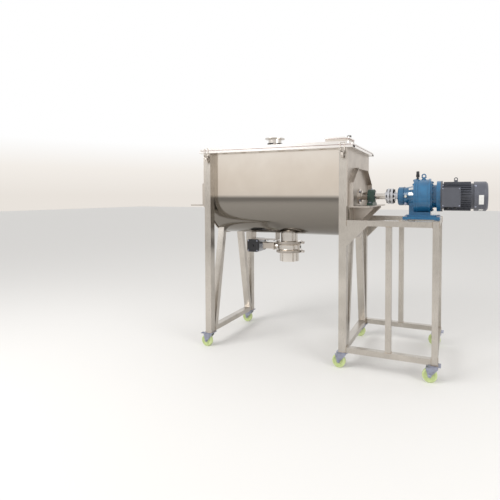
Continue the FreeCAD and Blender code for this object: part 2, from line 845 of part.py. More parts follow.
def coupling_pin_places():
    for index in range(6):
        yield (coupling_pin_circle * cosine(60 * index),
               shaft_height + coupling_pin_circle * sine(60 * index))


def coupling_pins():
    """Pins through both flanges, with a head at one end and a nut at the other."""
    flange = coupling_half / 2
    start = coupling_x + coupling_half - flange
    reach = 2 * flange + coupling_gap
    for y, z in coupling_pin_places():
        shank = cylinder("x", bolt_radius, reach, (start, y, z))
        nut = hexagon("x", bolt_flats, head_height, (start - head_height, y, z))
        head = hexagon("x", bolt_flats, head_height, (start + reach, y, z))
        yield fuse(shank, nut, head)


def gearbox_output_shaft():
    """Stub into the coupling, and the disc inside whose pins the cycloid disc drives round."""
    start = coupling_x + coupling_half + coupling_gap - gear_x
    inside = gear_cover + gear_neck
    disc_low = inside - disc_back
    disc_high = inside + disc_front
    profile = [(start, 0), (start, drive_end_radius), (0, drive_end_radius), (0, journal_radius),
               (disc_low, journal_radius), (disc_low, gear_disc), (disc_high, gear_disc), (disc_high, 0)]
    body = turned("x", profile, (gear_x, 0, shaft_height))
    sketch = sketch_in(body, "YZ", disc_high)
    round_hole(sketch, 0, drive_circle, drive_pin)
    pin = pad(body, sketch, 2 * cycloid_gap + cycloid_sheet)
    repeat_round(body, pin, "X", drive_pin_count)
    return body


def flank_point(turn):
    """Point of the cycloid disc's outline, set in from the path that a ring pin rolls along it.

    The path is seen from the disc, whose centre orbits by the throw while it turns once backwards
    for each ring pin but one.
    """
    reach, orbit, count = (number(ring_circle), number(throw), ring_pin_count)
    inset = number(ring_pin + mesh_clearance)
    path = (reach * math.cos(turn) - orbit * math.cos(count * turn),
            reach * math.sin(turn) - orbit * math.sin(count * turn))
    along = (count * orbit * math.sin(count * turn) - reach * math.sin(turn),
             reach * math.cos(turn) - count * orbit * math.cos(count * turn))
    stretch = inset / math.hypot(*along)
    return FreeCAD.Vector(0, path[0] - along[1] * stretch, path[1] + along[0] * stretch)


def cycloid_disc():
    """Lobed disc on the cam: one lobe fewer than the ring has pins, with holes for the drive pins."""
    lobe = 2 * math.pi / (ring_pin_count - 1)
    centre = (cycloid_x, throw, shaft_height)
    flanks = []
    for index in range(ring_pin_count - 1):
        spots = [flank_point(lobe * (index + step / flank_steps)) for step in range(flank_steps + 1)]
        valley = FreeCAD.Vector(0, -math.sin(lobe * index), math.cos(lobe * index))
        next_valley = FreeCAD.Vector(0, -math.sin(lobe * (index + 1)), math.cos(lobe * (index + 1)))
        flank = Part.BSplineCurve()
        flank.interpolate(Points=spots, InitialTangent=valley, FinalTangent=next_valley)
        flanks.append(flank.toShape())
    outline_face = doc.addObject("Part::Feature", "Lobes")
    outline_face.Shape = Part.Face(Part.Wire(flanks))
    blank = doc.addObject("Part::Extrusion", "Disc")
    blank.Base = outline_face
    blank.DirMode = "Custom"
    blank.Dir = X_AXIS
    blank.setExpression("LengthFwd", text(cycloid_sheet))
    blank.Solid = True
    hole_radius = drive_pin + throw + mesh_clearance
    holes = []
    for index in range(drive_pin_count):
        turn = 2 * math.pi * index / drive_pin_count
        y, z = (drive_circle * math.cos(turn), drive_circle * math.sin(turn))
        holes.append(cylinder("x", hole_radius, cycloid_sheet, (cycloid_x, throw + y, shaft_height + z)))
    bore = cylinder("x", cam_radius + running_gap, cycloid_sheet, centre)
    return cut(place(blank, centre), bore, *holes)


def gearbox_output_housing():
    """Cast output end: bearing nose, tapered neck, flange for the ring case and the foot."""
    bore = journal_radius + running_gap
    inside = gear_cover + gear_neck
    cavity = gear_disc + disc_gap
    rim = inside - gear_rim
    back = inside - disc_back - disc_gap
    profile = [(0, bore), (0, gear_nose - gear_nose_chamfer), (gear_nose_chamfer, gear_nose),
               (gear_cover, gear_nose), (gear_cover, gear_neck_start), (rim, gear_neck_end),
               (rim, gear_ring_radius), (inside, gear_ring_radius), (inside, cavity), (back, cavity),
               (back, bore)]
    cast = turned("x", profile, (gear_x, 0, shaft_height))
    foot = bar((gear_foot, 2 * gear_foot_half, gear_foot_sheet),
               (gear_x + gear_foot_start, -gear_foot_half, stand_top))
    foot_start = gear_x + gear_foot_start
    step_start = foot_start + gear_step_inset
    step_low = stand_top + gear_foot_sheet
    step_half = gear_foot_half - gear_foot_edge - bolt_flats / 2 - seat_clearance
    step = bar((gear_foot - 2 * gear_step_inset, 2 * step_half, gear_step),
               (step_start, -step_half, step_low))
    web_start = foot_start + gear_web_inset
    web_profile = [(web_start, step_low), (input_x, step_low), (input_x, shaft_height - gear_neck_end),
                   (ring_x, shaft_height - gear_web_top), (web_start, shaft_height - gear_web_top)]
    web = profiled("XZ", web_profile, 2 * gear_web_half, (0, -gear_web_half, 0))
    seat_radius = gear_ring_radius + seat_clearance
    pocket = disc_back + disc_gap
    seat = [cylinder("x", seat_radius, gear_ring + gear_input, (ring_x, 0, shaft_height)),
            cylinder("x", cavity, pocket, (ring_x - pocket, 0, shaft_height))]
    holes = [cylinder("z", bolt_radius + running_gap, gear_foot_sheet, (x, y, stand_top))
             for x, y in gear_bolt_places()]
    return fuse(cast, cut(fuse(foot, step, web), *seat, *holes))


def gear_bolt_places():
    across = gear_foot_half - gear_foot_edge
    for x in (drive_beam + stand_tube / 2, stand_right - stand_tube / 2):
        for y in (-across, across):
            yield x, y


def gearbox_bolts():
    for x, y in gear_bolt_places():
        head = hexagon("z", bolt_flats, head_height, (x, y, stand_top + gear_foot_sheet))
        shank = cylinder("z", bolt_radius, gear_foot_sheet, (x, y, stand_top))
        yield fuse(head, shank)


def gearbox_ring_case():
    """Ring between the housings, with two bolting rims, a waist and round teeth inside."""
    far = gear_ring - gear_rim
    waist = gear_ring_radius - gear_waist
    profile = [(0, gear_bore), (0, gear_ring_radius), (gear_rim, gear_ring_radius), (gear_rim, waist),
               (far, waist), (far, gear_ring_radius), (gear_ring, gear_ring_radius), (gear_ring, gear_bore)]
    body = turned("x", profile, (ring_x, 0, shaft_height))
    sketch = sketch_in(body, "YZ", disc_front)
    round_hole(sketch, 0, ring_circle, ring_pin)
    pin = pad(body, sketch, 2 * cycloid_gap + cycloid_sheet)
    repeat_round(body, pin, "X", ring_pin_count)
    return body


def gearbox_input_cover():
    """Cover that closes the ring case and carries the motor flange."""
    length = gear_input + gear_flange
    profile = [(0, shaft_bore), (0, input_rim_radius), (input_rim, input_rim_radius),
               (input_rim, input_neck_radius), (gear_input, input_neck_radius),
               (gear_input, motor_flange_radius), (length, motor_flange_radius),
               (length, input_hollow_radius), (input_wall, input_hollow_radius), (input_wall, shaft_bore)]
    return turned("x", profile, (input_x, 0, shaft_height))


def gearbox_fittings(housing):
    """Breather on the ring case, oil sight glass and drain plug on the neck."""
    crown = shaft_height + gear_ring_radius
    eye_x = ring_x + gear_rim / 2
    stalk = cylinder("z", breather_radius / 2, breather_radius, (eye_x, 0, crown))
    yield fuse(stalk, cylinder("z", breather_radius, breather_cap, (eye_x, 0, crown + breather_radius)))
    for height in (shaft_height, shaft_height - plug_drop):
        spot = (gear_x + eye_station, -gear_neck_end - eye_proud, height)
        yield cut(cylinder("y", eye_radius, gear_neck_end / 2, spot), housing)


shaft_bore = motor_shaft_radius + running_gap

gear_housing = gearbox_output_housing()
node(group(coupling_flange(coupling_x + coupling_half, 1),
           coupling_flange(coupling_x + coupling_half + coupling_gap, -1)), "coupling_flanges")
node(group(*coupling_pins()), "coupling_pins")
node(gearbox_output_shaft(), "gearbox_output_shaft")
node(gear_housing, "gearbox_output_housing")
node(gearbox_ring_case(), "gearbox_ring_case")
node(gearbox_input_cover(), "gearbox_input_cover")
node(cycloid_disc(), "cycloid_disc")
node(group(*bearing_bolts(), *gearbox_bolts()), "frame_bolts")
node(group(*gearbox_fittings(gear_housing)), "gearbox_fittings")


# ---------------------------------------------------------------- motor

def motor_frame():
    """Finned tube with a flange at the gearbox end."""
    length = motor_length - fan_cover_length
    body = doc.addObject("PartDesign::Body", "Finned")
    sketch = sketch_in(body, "YZ")
    round_hole(sketch, 0, 0, motor_shell)
    round_hole(sketch, 0, 0, motor_bore)
    pad(body, sketch, length)
    fin_sketch = sketch_in(body, "YZ", fin_start)
    half = fin_sheet / 2
    outline(fin_sketch, rectangle(-half, motor_shell - 2, half, motor_radius))
    fin = pad(body, fin_sketch, length - 2 * fin_start)
    repeat_round(body, fin, "X", 36)
    place(body, (motor_x, 0, shaft_height))
    flange = ring("x", motor_flange_radius, motor_bore, motor_flange, (motor_x, 0, shaft_height))
    return fuse(body, flange)


def terminal_box():
    """Cable box with its lid, saddled on the side of the motor towards the front."""
    start = motor_x + motor_flange
    low = shaft_height - box_side / 2 - box_drop
    face = box_sunk - motor_radius - box_depth
    height = box_side + box_drop
    box = bar((box_side, box_depth, height), (start, face, low))
    lid = bar((box_side + 2 * box_lip, box_lid, height + 2 * box_lip),
              (start - box_lip, face - box_lid, low - box_lip))
    saddle_radius = motor_radius + seat_clearance
    return cut(fuse(box, lid), cylinder("x", saddle_radius, motor_length, (motor_x, 0, shaft_height)))


def motor_end_shield():
    """Rear bearing cover inside the fan cowl."""
    rim = motor_radius - fan_cover_sheet - seat_clearance
    profile = [(0, shaft_bore), (0, rim), (shield_rim, rim), (shield_depth, shield_hub_radius),
               (shield_depth, shaft_bore)]
    return turned("x", profile, (motor_end - fan_cover_length, 0, shaft_height))


def fan_cover():
    """Sheet cowl over the fan, with slots for the air at its end."""
    outer = motor_radius
    inner = outer - fan_cover_sheet
    end = fan_cover_length
    inside = fan_cover_length - fan_cover_sheet
    bend = fan_cover_round
    profile = [(0, inner), (0, outer), (end - bend, outer), (end, outer - bend), (end, 0), (inside, 0),
               (inside, inner - bend), (inside - bend, inner)]
    body = turned("x", profile, (motor_end - fan_cover_length, 0, shaft_height))
    sketch = sketch_in(body, "YZ", inside - fan_cover_sheet)
    outline(sketch, rectangle(-slot_width / 2, slot_near, slot_width / 2, slot_far))
    slot = body.newObject("PartDesign::Pocket", "Slot")
    slot.Profile = sketch
    slot.setExpression("Length", text(4 * fan_cover_sheet))
    slot.Reversed = True
    repeat_round(body, slot, "X", 12)
    return body


def motor_stator():
    return ring("x", motor_bore, rotor_radius + air_gap, core_length,
                (motor_x + core_start, 0, shaft_height))


def motor_rotor():
    """Motor shaft with its core, running on into the gearbox, where it carries the off-centre cam."""
    core = motor_x + core_start - cycloid_x
    core_end = core + core_length
    end = motor_end - fan_cover_length + tail_length - cycloid_x
    profile = [(0, 0), (0, motor_shaft_radius), (core, motor_shaft_radius), (core, rotor_radius),
               (core_end, rotor_radius), (core_end, motor_shaft_radius), (end, motor_shaft_radius), (end, 0)]
    yield turned("x", profile, (cycloid_x, 0, shaft_height))
    cam = cylinder("x", cam_radius, cycloid_sheet, (cycloid_x, throw, shaft_height))
    yield cut(cam, cylinder("x", motor_shaft_radius + seat_gap, cycloid_sheet, (cycloid_x, 0, shaft_height)))


def cooling_fan():
    """Hub and back disc with straight radial blades."""
    start = motor_end - fan_cover_length + fan_start
    bore = motor_shaft_radius + seat_clearance
    plate = fan_radius - fan_cover_round
    hub_end = fan_sheet + fan_width
    body = turned("x", [(0, bore), (0, plate), (fan_sheet, plate), (fan_sheet, fan_hub), (hub_end, fan_hub),
                        (hub_end, bore)], (start, 0, shaft_height))
    sketch = sketch_in(body, "YZ", fan_sheet)
    outline(sketch, rectangle(-fan_sheet / 2, fan_hub - fan_sheet, fan_sheet / 2, fan_radius))
    blade = pad(body, sketch, fan_width)
    repeat_round(body, blade, "X", 8)
    return body


node(group(motor_frame(), motor_end_shield()), "motor_frame")
node(terminal_box(), "terminal_box")
node(fan_cover(), "fan_cover")
node(motor_stator(), "motor_stator")
node(group(*motor_rotor()), "motor_rotor")
node(cooling_fan(), "cooling_fan")

# ---------------------------------------------------------------- discharge valve

valve_low = valve_top - valve_flange - valve_body - valve_flange
valve_axis = valve_low + valve_flange + valve_body / 2
stem_reach = actuator_station + stem_overrun


def outlet_stub():
    """Short pipe welded under the trough, ending in a ferrule."""
    length = trough_low + saddle - valve_top
    outer = ring("z", outlet_radius, outlet_radius - outlet_sheet, length, (middle, 0, valve_top))
    trough = cylinder("x", shell_radius, trough_length, shaft_line)
    return fuse(cut(outer, trough), ferrule(valve_top - valve_flange / 2, outlet_radius - outlet_sheet))


def ferrule(z, bore):
    """Clamp ferrule, half of a flange pair."""
    return ring("z", ferrule_radius, bore, valve_flange / 2, (middle, 0, z))


def butterfly_body():
    """Valve ring with a ferrule at each end and a bored boss for the stem."""
    top_lip = valve_top - valve_flange / 2
    low_lip = valve_low + valve_flange / 2
    rim = ferrule_radius
    height = top_lip - low_lip
    lip = valve_flange / 2
    neck = valve_radius - valve_groove
    near = lip + valve_shoulder
    full = near + valve_shoulder
    profile = [(valve_bore, 0), (rim, 0), (rim, lip), (neck, near), (valve_radius, full),
               (valve_radius, height - full), (neck, height - near), (rim, height - lip), (rim, height),
               (valve_bore, height)]
    ring_body = turned("z", profile, (middle, 0, low_lip))
    boss = cut(cylinder("x", stem_boss, stem_boss_reach, (middle - stem_boss_reach, 0, valve_axis)),
               cylinder("z", valve_bore + stem_boss_inset, valve_top - valve_low, (middle, 0, valve_low)))
    stem_hole = cylinder("x", stem_radius + running_gap, 2 * stem_boss_reach,
                         (middle - stem_boss_reach, 0, valve_axis))
    return cut(fuse(ring_body, boss), stem_hole)


def valve_clamps():
    """Two clamp rings round the ferrule pairs, each with a wing-nut bolt."""
    for z in (valve_low, valve_top - valve_flange):
        band = ring("z", valve_flange_radius, ferrule_radius + seat_gap, valve_flange, (middle, 0, z))
        outside = middle + valve_flange_radius
        lug = bar((clamp_lug, clamp_lug_width, valve_flange),
                  (outside - clamp_lug_root, -clamp_lug_width / 2, z))
        rod = cylinder("y", clamp_rod, clamp_rod_length,
                       (outside + clamp_lug / 2, -clamp_rod_length / 2, z + valve_flange / 2))
        inside = cylinder("z", valve_flange_radius - ferrule_step / 2, valve_flange, (middle, 0, z))
        yield fuse(band, cut(lug, inside), rod)


def outlet_spout():
    """Open pipe below the valve."""
    top = valve_low + valve_flange / 2
    pipe = ring("z", outlet_pipe_radius, outlet_pipe_radius - outlet_sheet, outlet_pipe,
                (middle, 0, valve_low - outlet_pipe))
    return fuse(pipe, ferrule(top - valve_flange / 2, outlet_pipe_radius - outlet_sheet))


def valve_disc():
    """Disc with its stem through the boss into the actuator."""
    radius = valve_bore - disc_clearance
    disc = cylinder("z", radius, disc_sheet, (middle, 0, valve_axis - disc_sheet / 2))
    stem = cylinder("x", stem_radius, stem_reach + valve_bore + stem_tail,
                    (middle - stem_reach, 0, valve_axis))
    sleeve = cylinder("x", sleeve_radius, sleeve_length, (middle - sleeve_station, 0, valve_axis))
    return fuse(disc, stem, sleeve)


def actuator_body():
    """Extruded cylinder block along Y, bored for the two pistons and across for the pinion."""
    block = bar((2 * actuator_half, actuator_length - 40, 2 * actuator_half),
                (actuator_x - actuator_half, 20 - actuator_length / 2, valve_axis - actuator_half))
    bore = cylinder("y", actuator_half - 12, actuator_length, (actuator_x, -actuator_length / 2, valve_axis))
    nose = ring("x", 34, stem_radius + running_gap, 40, (actuator_x + actuator_half - 6, 0, valve_axis))
    hole = cylinder("x", stem_radius + running_gap, 80, (actuator_x + actuator_half - 30, 0, valve_axis))
    return cut(fuse(block, cut(nose, bore)), bore, hole)


def actuator_caps():
    """Rounded covers bolted on both ends of the cylinder block."""
    for y, near in ((-actuator_length / 2, True), (actuator_length / 2 - 20, False)):
        cap = bar((2 * actuator_half + 8, 20, 2 * actuator_half + 8),
                  (actuator_x - actuator_half - 4, y, valve_axis - actuator_half - 4))
        rounded = doc.addObject("Part::Fillet", "Rounded")
        rounded.Base = cap
        rounded.Edges = [(edge, 24, 24) for edge in (2, 4, 6, 8)]
        screw = cylinder("y", 10, 10, (actuator_x, y - 10 if near else y + 20, valve_axis))
        yield fuse(rounded, screw)


def actuator_mount():
    """Open bracket between the actuator's nose and the valve's boss, and the plate that hangs both."""
    start = actuator_x + actuator_half + 34
    end = middle - 165
    for x in (start, end - 8):
        corners = rectangle(-45, valve_axis - 40, 45, valve_axis + 40)
        yield profiled("YZ", corners, 8, (x, 0, 0), [(0, valve_axis, stem_radius + 4)])
    for y in (-45, 39):
        yield bar((end - start - 16, 6, 60), (start + 8, y, valve_axis - 30))
    plate = bar((300, 110, 6), (actuator_x - 40, -55, valve_axis + actuator_half))
    trough = cylinder("x", shell_radius, trough_length, shaft_line)
    yield plate
    for x in (actuator_x - 40, actuator_x + 254):
        hanger = bar((6, 110, 2 * saddle + 40), (x, -55, valve_axis + actuator_half + 6))
        yield cut(hanger, trough)


actuator_x = middle - actuator_station
node(outlet_stub(), "outlet_stub")
node(butterfly_body(), "butterfly_body")
node(group(*valve_clamps()), "valve_clamps")
node(outlet_spout(), "outlet_spout")
node(valve_disc(), "valve_disc")
node(actuator_body(), "actuator_body")
node(group(*actuator_caps()), "actuator_caps")
node(group(*actuator_mount()), "actuator_mount")

# ---------------------------------------------------------------- lid, inlet and hatch

hinge_radius = size("hinge_radius", 11)
hinge_pin = size("hinge_pin", 5)
hinge_y = rim_y + hinge_out
inlet_x = left + size("inlet_station", 690)
inlet_y = -size("inlet_offset", 235)
inlet_radius = size("inlet_radius", 66)
inlet_sheet = size("inlet_sheet", 3)
inlet_height = size("inlet_height", 78)
inlet_flange_radius = size("inlet_flange_radius", 100)
inlet_flange = size("inlet_flange", 8)
inlet_bolt_circle = size("inlet_bolt_circle", 83)
inlet_bolt_hole = size("inlet_bolt_hole", 6)
hatch_x = right - size("hatch_from_right", 144)
hatch_y = -size("hatch_offset", 170)
hatch_half = size("hatch_half", 114)
hatch_curb_height = size("hatch_curb_height", 46)
hatch_sheet = size("hatch_sheet", 4)
hatch_cover_sheet = size("hatch_cover_sheet", 12)
hatch_overlap = size("hatch_overlap", 6)
hatch_corner = size("hatch_corner", 10)
hatch_panel_inset = size("hatch_panel_inset", 30)
hatch_panel_rise = size("hatch_panel_rise", 8)
hatch_panel_corner = size("hatch_panel_corner", 16)
hatch_pin_out = size("hatch_pin_out", 16)
hatch_pin = size("hatch_pin", 4)
hatch_knuckle = size("hatch_knuckle", 8)
hatch_leaf = size("hatch_leaf", 50)
hatch_lug = size("hatch_lug", 24)


def rounded_rectangle(low_x, low_y, high_x, high_y, radius):
    return [(low_x + radius, low_y), (high_x - radius, low_y), (high_x, low_y + radius, radius, 1),
            (high_x, high_y - radius), (high_x - radius, high_y, radius, 1), (low_x + radius, high_y),
            (low_x, high_y - radius, radius, 1), (low_x, low_y + radius)]


def soft_block(low_x, low_y, high_x, high_y, radius, height, z):
    """Block with rounded upright corners. The last corner closes the outline with its own arc."""
    corners = rounded_rectangle(low_x, low_y, high_x, high_y, radius)
    corners[0] = (*corners[0], radius, 1)
    return profiled("XY", corners, height, (0, 0, z))


def hinge_stations():
    for x in (rim_left + 220, middle, rim_right - 220):
        yield x


def lid_panel():
    """Pressed lid: a flat border on the gasket, a raised middle, hollow below, with its knuckles."""
    border = soft_block(rim_left, -rim_y, rim_right, rim_y, 20, lid_edge, lid_bottom)
    inset = lid_border
    raised = soft_block(rim_left + inset, inset - rim_y, rim_right - inset, rim_y - inset, 30, lid_raise,
                        lid_bottom + lid_edge)
    inset = lid_border + lid_sheet
    hollow = soft_block(rim_left + inset, inset - rim_y, rim_right - inset, rim_y - inset, 28,
                        lid_edge + lid_raise - lid_sheet, lid_bottom)
    inlet = cylinder("z", inlet_radius - inlet_sheet, 2 * lid_raise, (inlet_x, inlet_y, lid_bottom))
    half = hatch_half - hatch_sheet
    hatch = bar((2 * half, 2 * half, 2 * lid_raise), (hatch_x - half, hatch_y - half, lid_bottom))
    knuckles = [hinge_knuckle(x - 29, 58, 1) for x in hinge_stations()]
    return cut(fuse(border, raised, *knuckles), hollow, inlet, hatch)


def hinge_knuckle(x, width, side):
    """Knuckle with its short leaf; side is 1 for the lid's leaf and -1 for the rim's."""
    leaf_z = lid_bottom if side > 0 else lid_bottom - 16
    leaf = bar((width, hinge_y - rim_y, lid_edge - 1), (x, rim_y, leaf_z))
    knuckle = cylinder("x", hinge_radius, width, (x, hinge_y, lid_bottom))
    return cut(fuse(leaf, knuckle), cylinder("x", hinge_pin + running_gap, width, (x, hinge_y, lid_bottom)))


def lid_hinge_leaves():
    """Fixed knuckles on the rim, either side of each lid knuckle, with the pin through all three."""
    for x in hinge_stations():
        outer = [hinge_knuckle(x - 60, 30, -1), hinge_knuckle(x + 30, 30, -1)]
        pin = cylinder("x", hinge_pin, 120, (x - 60, hinge_y, lid_bottom))
        ends = [cylinder("x", hinge_pin + 1, 28, (start, hinge_y, lid_bottom))
                for start in (x - 59, x + 31)]
        yield fuse(*outer, pin, *ends)


def inlet_port():
    """Feed neck on the lid with a drilled flange on top and a clamp band above its foot."""
    bore = inlet_radius - inlet_sheet
    profile = [(bore, 0), (82, 0), (82, 4), (inlet_radius, 4), (inlet_radius, 22), (75, 22), (75, 34),
               (inlet_radius, 34), (inlet_radius, inlet_height), (inlet_flange_radius, inlet_height),
               (inlet_flange_radius, inlet_height + inlet_flange), (bore, inlet_height + inlet_flange)]
    neck = turned("z", profile, (inlet_x, inlet_y, lid_top))
    holes = [cylinder("z", inlet_bolt_hole, inlet_flange + 4,
                      (inlet_x + inlet_bolt_circle * cosine(60 * index),
                       inlet_y + inlet_bolt_circle * sine(60 * index), lid_top + inlet_height - 2))
             for index in range(6)]
    return cut(neck, *holes)


hatch_top = lid_top + hatch_curb_height
hatch_axis_y = hatch_y + hatch_half + hatch_pin_out


def hatch_curb():
    """Square upstand round the inspection opening, with the fixed knuckles of the hatch hinge."""
    inner = hatch_half - hatch_sheet
    outer = rectangle(hatch_x - hatch_half, hatch_y - hatch_half, hatch_x + hatch_half, hatch_y + hatch_half)
    opening = rectangle(hatch_x - inner, hatch_y - inner, hatch_x + inner, hatch_y + inner)
    curb = profiled("XY", outer, hatch_curb_height, (0, 0, lid_top), inner=[opening])
    lugs = []
    near = hatch_leaf / 2 + 1
    for x in (hatch_x - near - hatch_lug, hatch_x + near):
        lugs.append(bar((hatch_lug, hatch_pin_out + 2, 10), (x, hatch_y + hatch_half - 1, hatch_top - 14)))
        lugs.append(cylinder("x", hatch_knuckle, hatch_lug, (x, hatch_axis_y, hatch_top)))
    pin_length = hatch_leaf + hatch_lug + 2
    return fuse(curb, *lugs, cylinder("x", hatch_pin, pin_length,
                                      (hatch_x - pin_length / 2, hatch_axis_y, hatch_top)))


def hatch_cover():
    """Flat cover with a raised panel, its hinge knuckle and a round clamp knob at the motor side."""
    half = hatch_half + hatch_overlap
    slab = soft_block(hatch_x - half, hatch_y - half, hatch_x + half, hatch_y + hatch_half, hatch_corner,
                      hatch_cover_sheet, hatch_top)
    inner = hatch_half - hatch_panel_inset
    panel = soft_block(hatch_x - inner, hatch_y - inner, hatch_x + inner, hatch_y + inner,
                       hatch_panel_corner, hatch_panel_rise, hatch_top + hatch_cover_sheet)
    start = hatch_x - hatch_leaf / 2
    leaf = bar((hatch_leaf, hatch_axis_y - hatch_y - hatch_half + hatch_pin / 2, hatch_knuckle),
               (start, hatch_y + hatch_half - 1, hatch_top + 1))
    knuckle = cylinder("x", hatch_knuckle, hatch_leaf, (start, hatch_axis_y, hatch_top))
    cover = cut(fuse(slab, panel, leaf, knuckle),
                cylinder("x", hatch_pin + running_gap, hatch_leaf, (start, hatch_axis_y, hatch_top)))
    knob_z = hatch_top + hatch_cover_sheet
    knob = turned("z", [(0, 0), (9, 0), (9, 8), (17, 12), (17, 26), (12, 30), (0, 30)],
                  (hatch_x + hatch_half - 20, hatch_y, knob_z))
    return [cover, knob]


node(lid_panel(), "lid_panel")
node(group(*lid_hinge_leaves()), "lid_hinge_leaves")
node(inlet_port(), "inlet_port")
node(hatch_curb(), "hatch_curb")
node(group(*hatch_cover()), "hatch_cover")

# ---------------------------------------------------------------- toggle latches

latch_pivot_y = front - size("latch_pivot_out", 20)
latch_pivot_z = rim_bottom - size("latch_pivot_drop", 30)
bail_y = latch_pivot_y - 4
bail_z = latch_pivot_z - 12
bail_bar = size("bail_bar", 4)
bail_top = lid_bottom + lid_edge + bail_bar
pivot_pin = size("pivot_pin", 4)
bail_rod = size("bail_rod", 3)


def latch_base(x):
    """Plate on the leg with two ears for the lever pin."""
    plate = bar((42, 5, 72), (x - 21, front - 5, latch_pivot_z - 46))
    ears = [cut(bar((4, 20, 18), (x + side - 2, front - 25, latch_pivot_z - 12)),
                cylinder("x", pivot_pin + running_gap, 10, (x + side - 5, latch_pivot_y, latch_pivot_z)))
            for side in (-8, 8)]
    return fuse(plate, *ears)


def latch_lever(x):
    """Channel-shaped lever on its pin, with stubs for the bail and a turned-out finger tab."""
    cheeks = [bar((3, 20, 28), (x + side, front - 32, latch_pivot_z - 20)) for side in (-15, 12)]
    face = bar((30, 4, 46), (x - 15, front - 32, latch_pivot_z - 58))
    tab = bar((30, 14, 4), (x - 15, front - 42, latch_pivot_z - 62))
    pin = cylinder("x", pivot_pin, 30, (x - 15, latch_pivot_y, latch_pivot_z))
    stubs = [cylinder("x", bail_rod, 9, (x + side, bail_y, bail_z)) for side in (-23, 14)]
    return fuse(*cheeks, face, tab, pin, *stubs)


def bail_arm(x):
    """Round rod up from the eye and bent back over the lid."""
    body = doc.addObject("PartDesign::Body", "Bail")
    path = sketch_in(body, "YZ")
    bend = 8
    rise = bail_top - bail_z
    points = [(0, 0), (0, rise - bend), (bend, rise), (bail_hook, rise)]
    spots = [FreeCAD.Vector(number(y), number(z), 0) for y, z in points]
    path.addGeometry(Part.LineSegment(spots[0], spots[1]))
    centre = FreeCAD.Vector(bend, number(rise) - bend, 0)
    path.addGeometry(Part.ArcOfCircle(Part.Circle(centre, Z_AXIS, bend), math.pi / 2, math.pi))
    path.addGeometry(Part.LineSegment(spots[2], spots[3]))
    path.addConstraint(Sketcher.Constraint("Tangent", 0, 2, 1, 2))
    path.addConstraint(Sketcher.Constraint("Tangent", 1, 1, 2, 1))
    path.addConstraint(Sketcher.Constraint("Vertical", 0))
    path.addConstraint(Sketcher.Constraint("Coincident", 0, 1, -1, 1))
    pin_point(path, 2, 2, *points[3])
    path.addConstraint(Sketcher.Constraint("Radius", 1, bend))
    section = sketch_in(body, "XY")
    round_hole(section, 0, 0, bail_rod)
    pipe = body.newObject("PartDesign::AdditivePipe", "Rod")
    pipe.Profile = section
    pipe.Spine = path
    return place(body, (x, bail_y, bail_z))


def latch_bail(x):
    """Bent rod that hooks over the lid's border: two eyes, two arms and a crossbar."""
    arms = [bail_arm(x + side) for side in (-19, 19)]
    eyes = [cylinder("x", 2 * bail_rod, bail_eye, (x + side - bail_eye / 2, bail_y, bail_z))
            for side in (-19, 19)]
    crossbar = cylinder("x", bail_bar, 48, (x - 24, bail_y + bail_hook, bail_top))
    bore = cylinder("x", bail_rod + running_gap, 50, (x - 25, bail_y, bail_z))
    return cut(fuse(*arms, *eyes, crossbar), bore)


bail_hook = size("bail_hook", 16)
bail_eye = size("bail_eye", 7)
latch_places = {"left": left + leg / 2, "right": right - leg / 2}
node(group(*[latch_base(x) for x in latch_places.values()]), "latch_bases")
for name, x in latch_places.items():
    node(latch_lever(x), f"{name}_latch_lever")
    node(latch_bail(x), f"{name}_latch_bail")

# ---------------------------------------------------------------- casters

race_low = caster_height - caster_plate - caster_race
crown_sheet = size("crown_sheet", 4)
king_pin = size("king_pin", 8)
axle_radius = size("axle_radius", 6)
tread_round = size("tread_round", 7)
pedal_out = size("pedal_out", 62)
pedal_drop = size("pedal_drop", 8)
pedal_pin = size("pedal_pin", 3)
fork_inner = caster_width / 2 + fork_gap
half_leg = leg / 2
half_tube = stand_tube / 2
caster_places = {
    "left_front": (left + half_leg, front + half_leg),
    "left_rear": (left + half_leg, back - half_leg),
    "middle_front": (right - half_leg, front + half_leg),
    "middle_rear": (right - half_leg, back - half_leg),
    "right_front": (stand_right - half_tube, front + half_tube),
    "right_rear": (stand_right - half_tube, back - half_tube),
}


def caster_top(x, y):
    """Mounting plate with the swivel race below it."""
    plate = bar((104, 84, caster_plate), (x - 52, y - 42, caster_height - caster_plate))
    race = cylinder("z", 27, caster_race, (x, y, race_low))
    hole = cylinder("z", king_pin + running_gap, caster_race, (x, y, race_low))
    return cut(fuse(plate, race), hole)


def caster_fork(x, y):
    """Swivelling fork: two stamped cheeks under a crown, the kingpin and the wheel's axle."""
    crown_low = race_low - crown_sheet
    axle_x = x - caster_trail
    cheek_low = caster_wheel - 13
    cheek_profile = [(x - pedal_out - 8, crown_low), (x - pedal_out - 8, crown_low - 16),
                     (axle_x - 15, caster_wheel), (axle_x - 9, cheek_low), (axle_x + 9, cheek_low),
                     (axle_x + 15, caster_wheel), (x + 30, crown_low - 12), (x + 30, crown_low)]
    holes = [(x - pedal_out, crown_low - pedal_drop, pedal_pin + running_gap)]
    cheeks = [profiled("XZ", cheek_profile, fork_sheet, (0, start, 0), holes)
              for start in (y - fork_inner - fork_sheet, y + fork_inner)]
    width = 2 * (fork_inner + fork_sheet)
    crown = bar((62, width, crown_sheet), (x - 32, y - width / 2, crown_low))
    king = cylinder("z", king_pin, caster_race, (x, y, race_low))
    axle = cylinder("y", axle_radius, width + 8, (axle_x, y - width / 2 - 4, caster_wheel))
    return fuse(*cheeks, crown, king, axle)


def caster_wheel_at(x, y):
    """Wheel with a chamfered tread on a hub of the same width."""
    half = caster_width / 2
    bore = axle_radius + running_gap
    shoulder = caster_wheel - tread_round
    profile = [(bore, -half), (shoulder, -half), (caster_wheel, tread_round - half),
               (caster_wheel, half - tread_round), (shoulder, half), (bore, half)]
    return turned("y", profile, (x - caster_trail, y, caster_wheel))


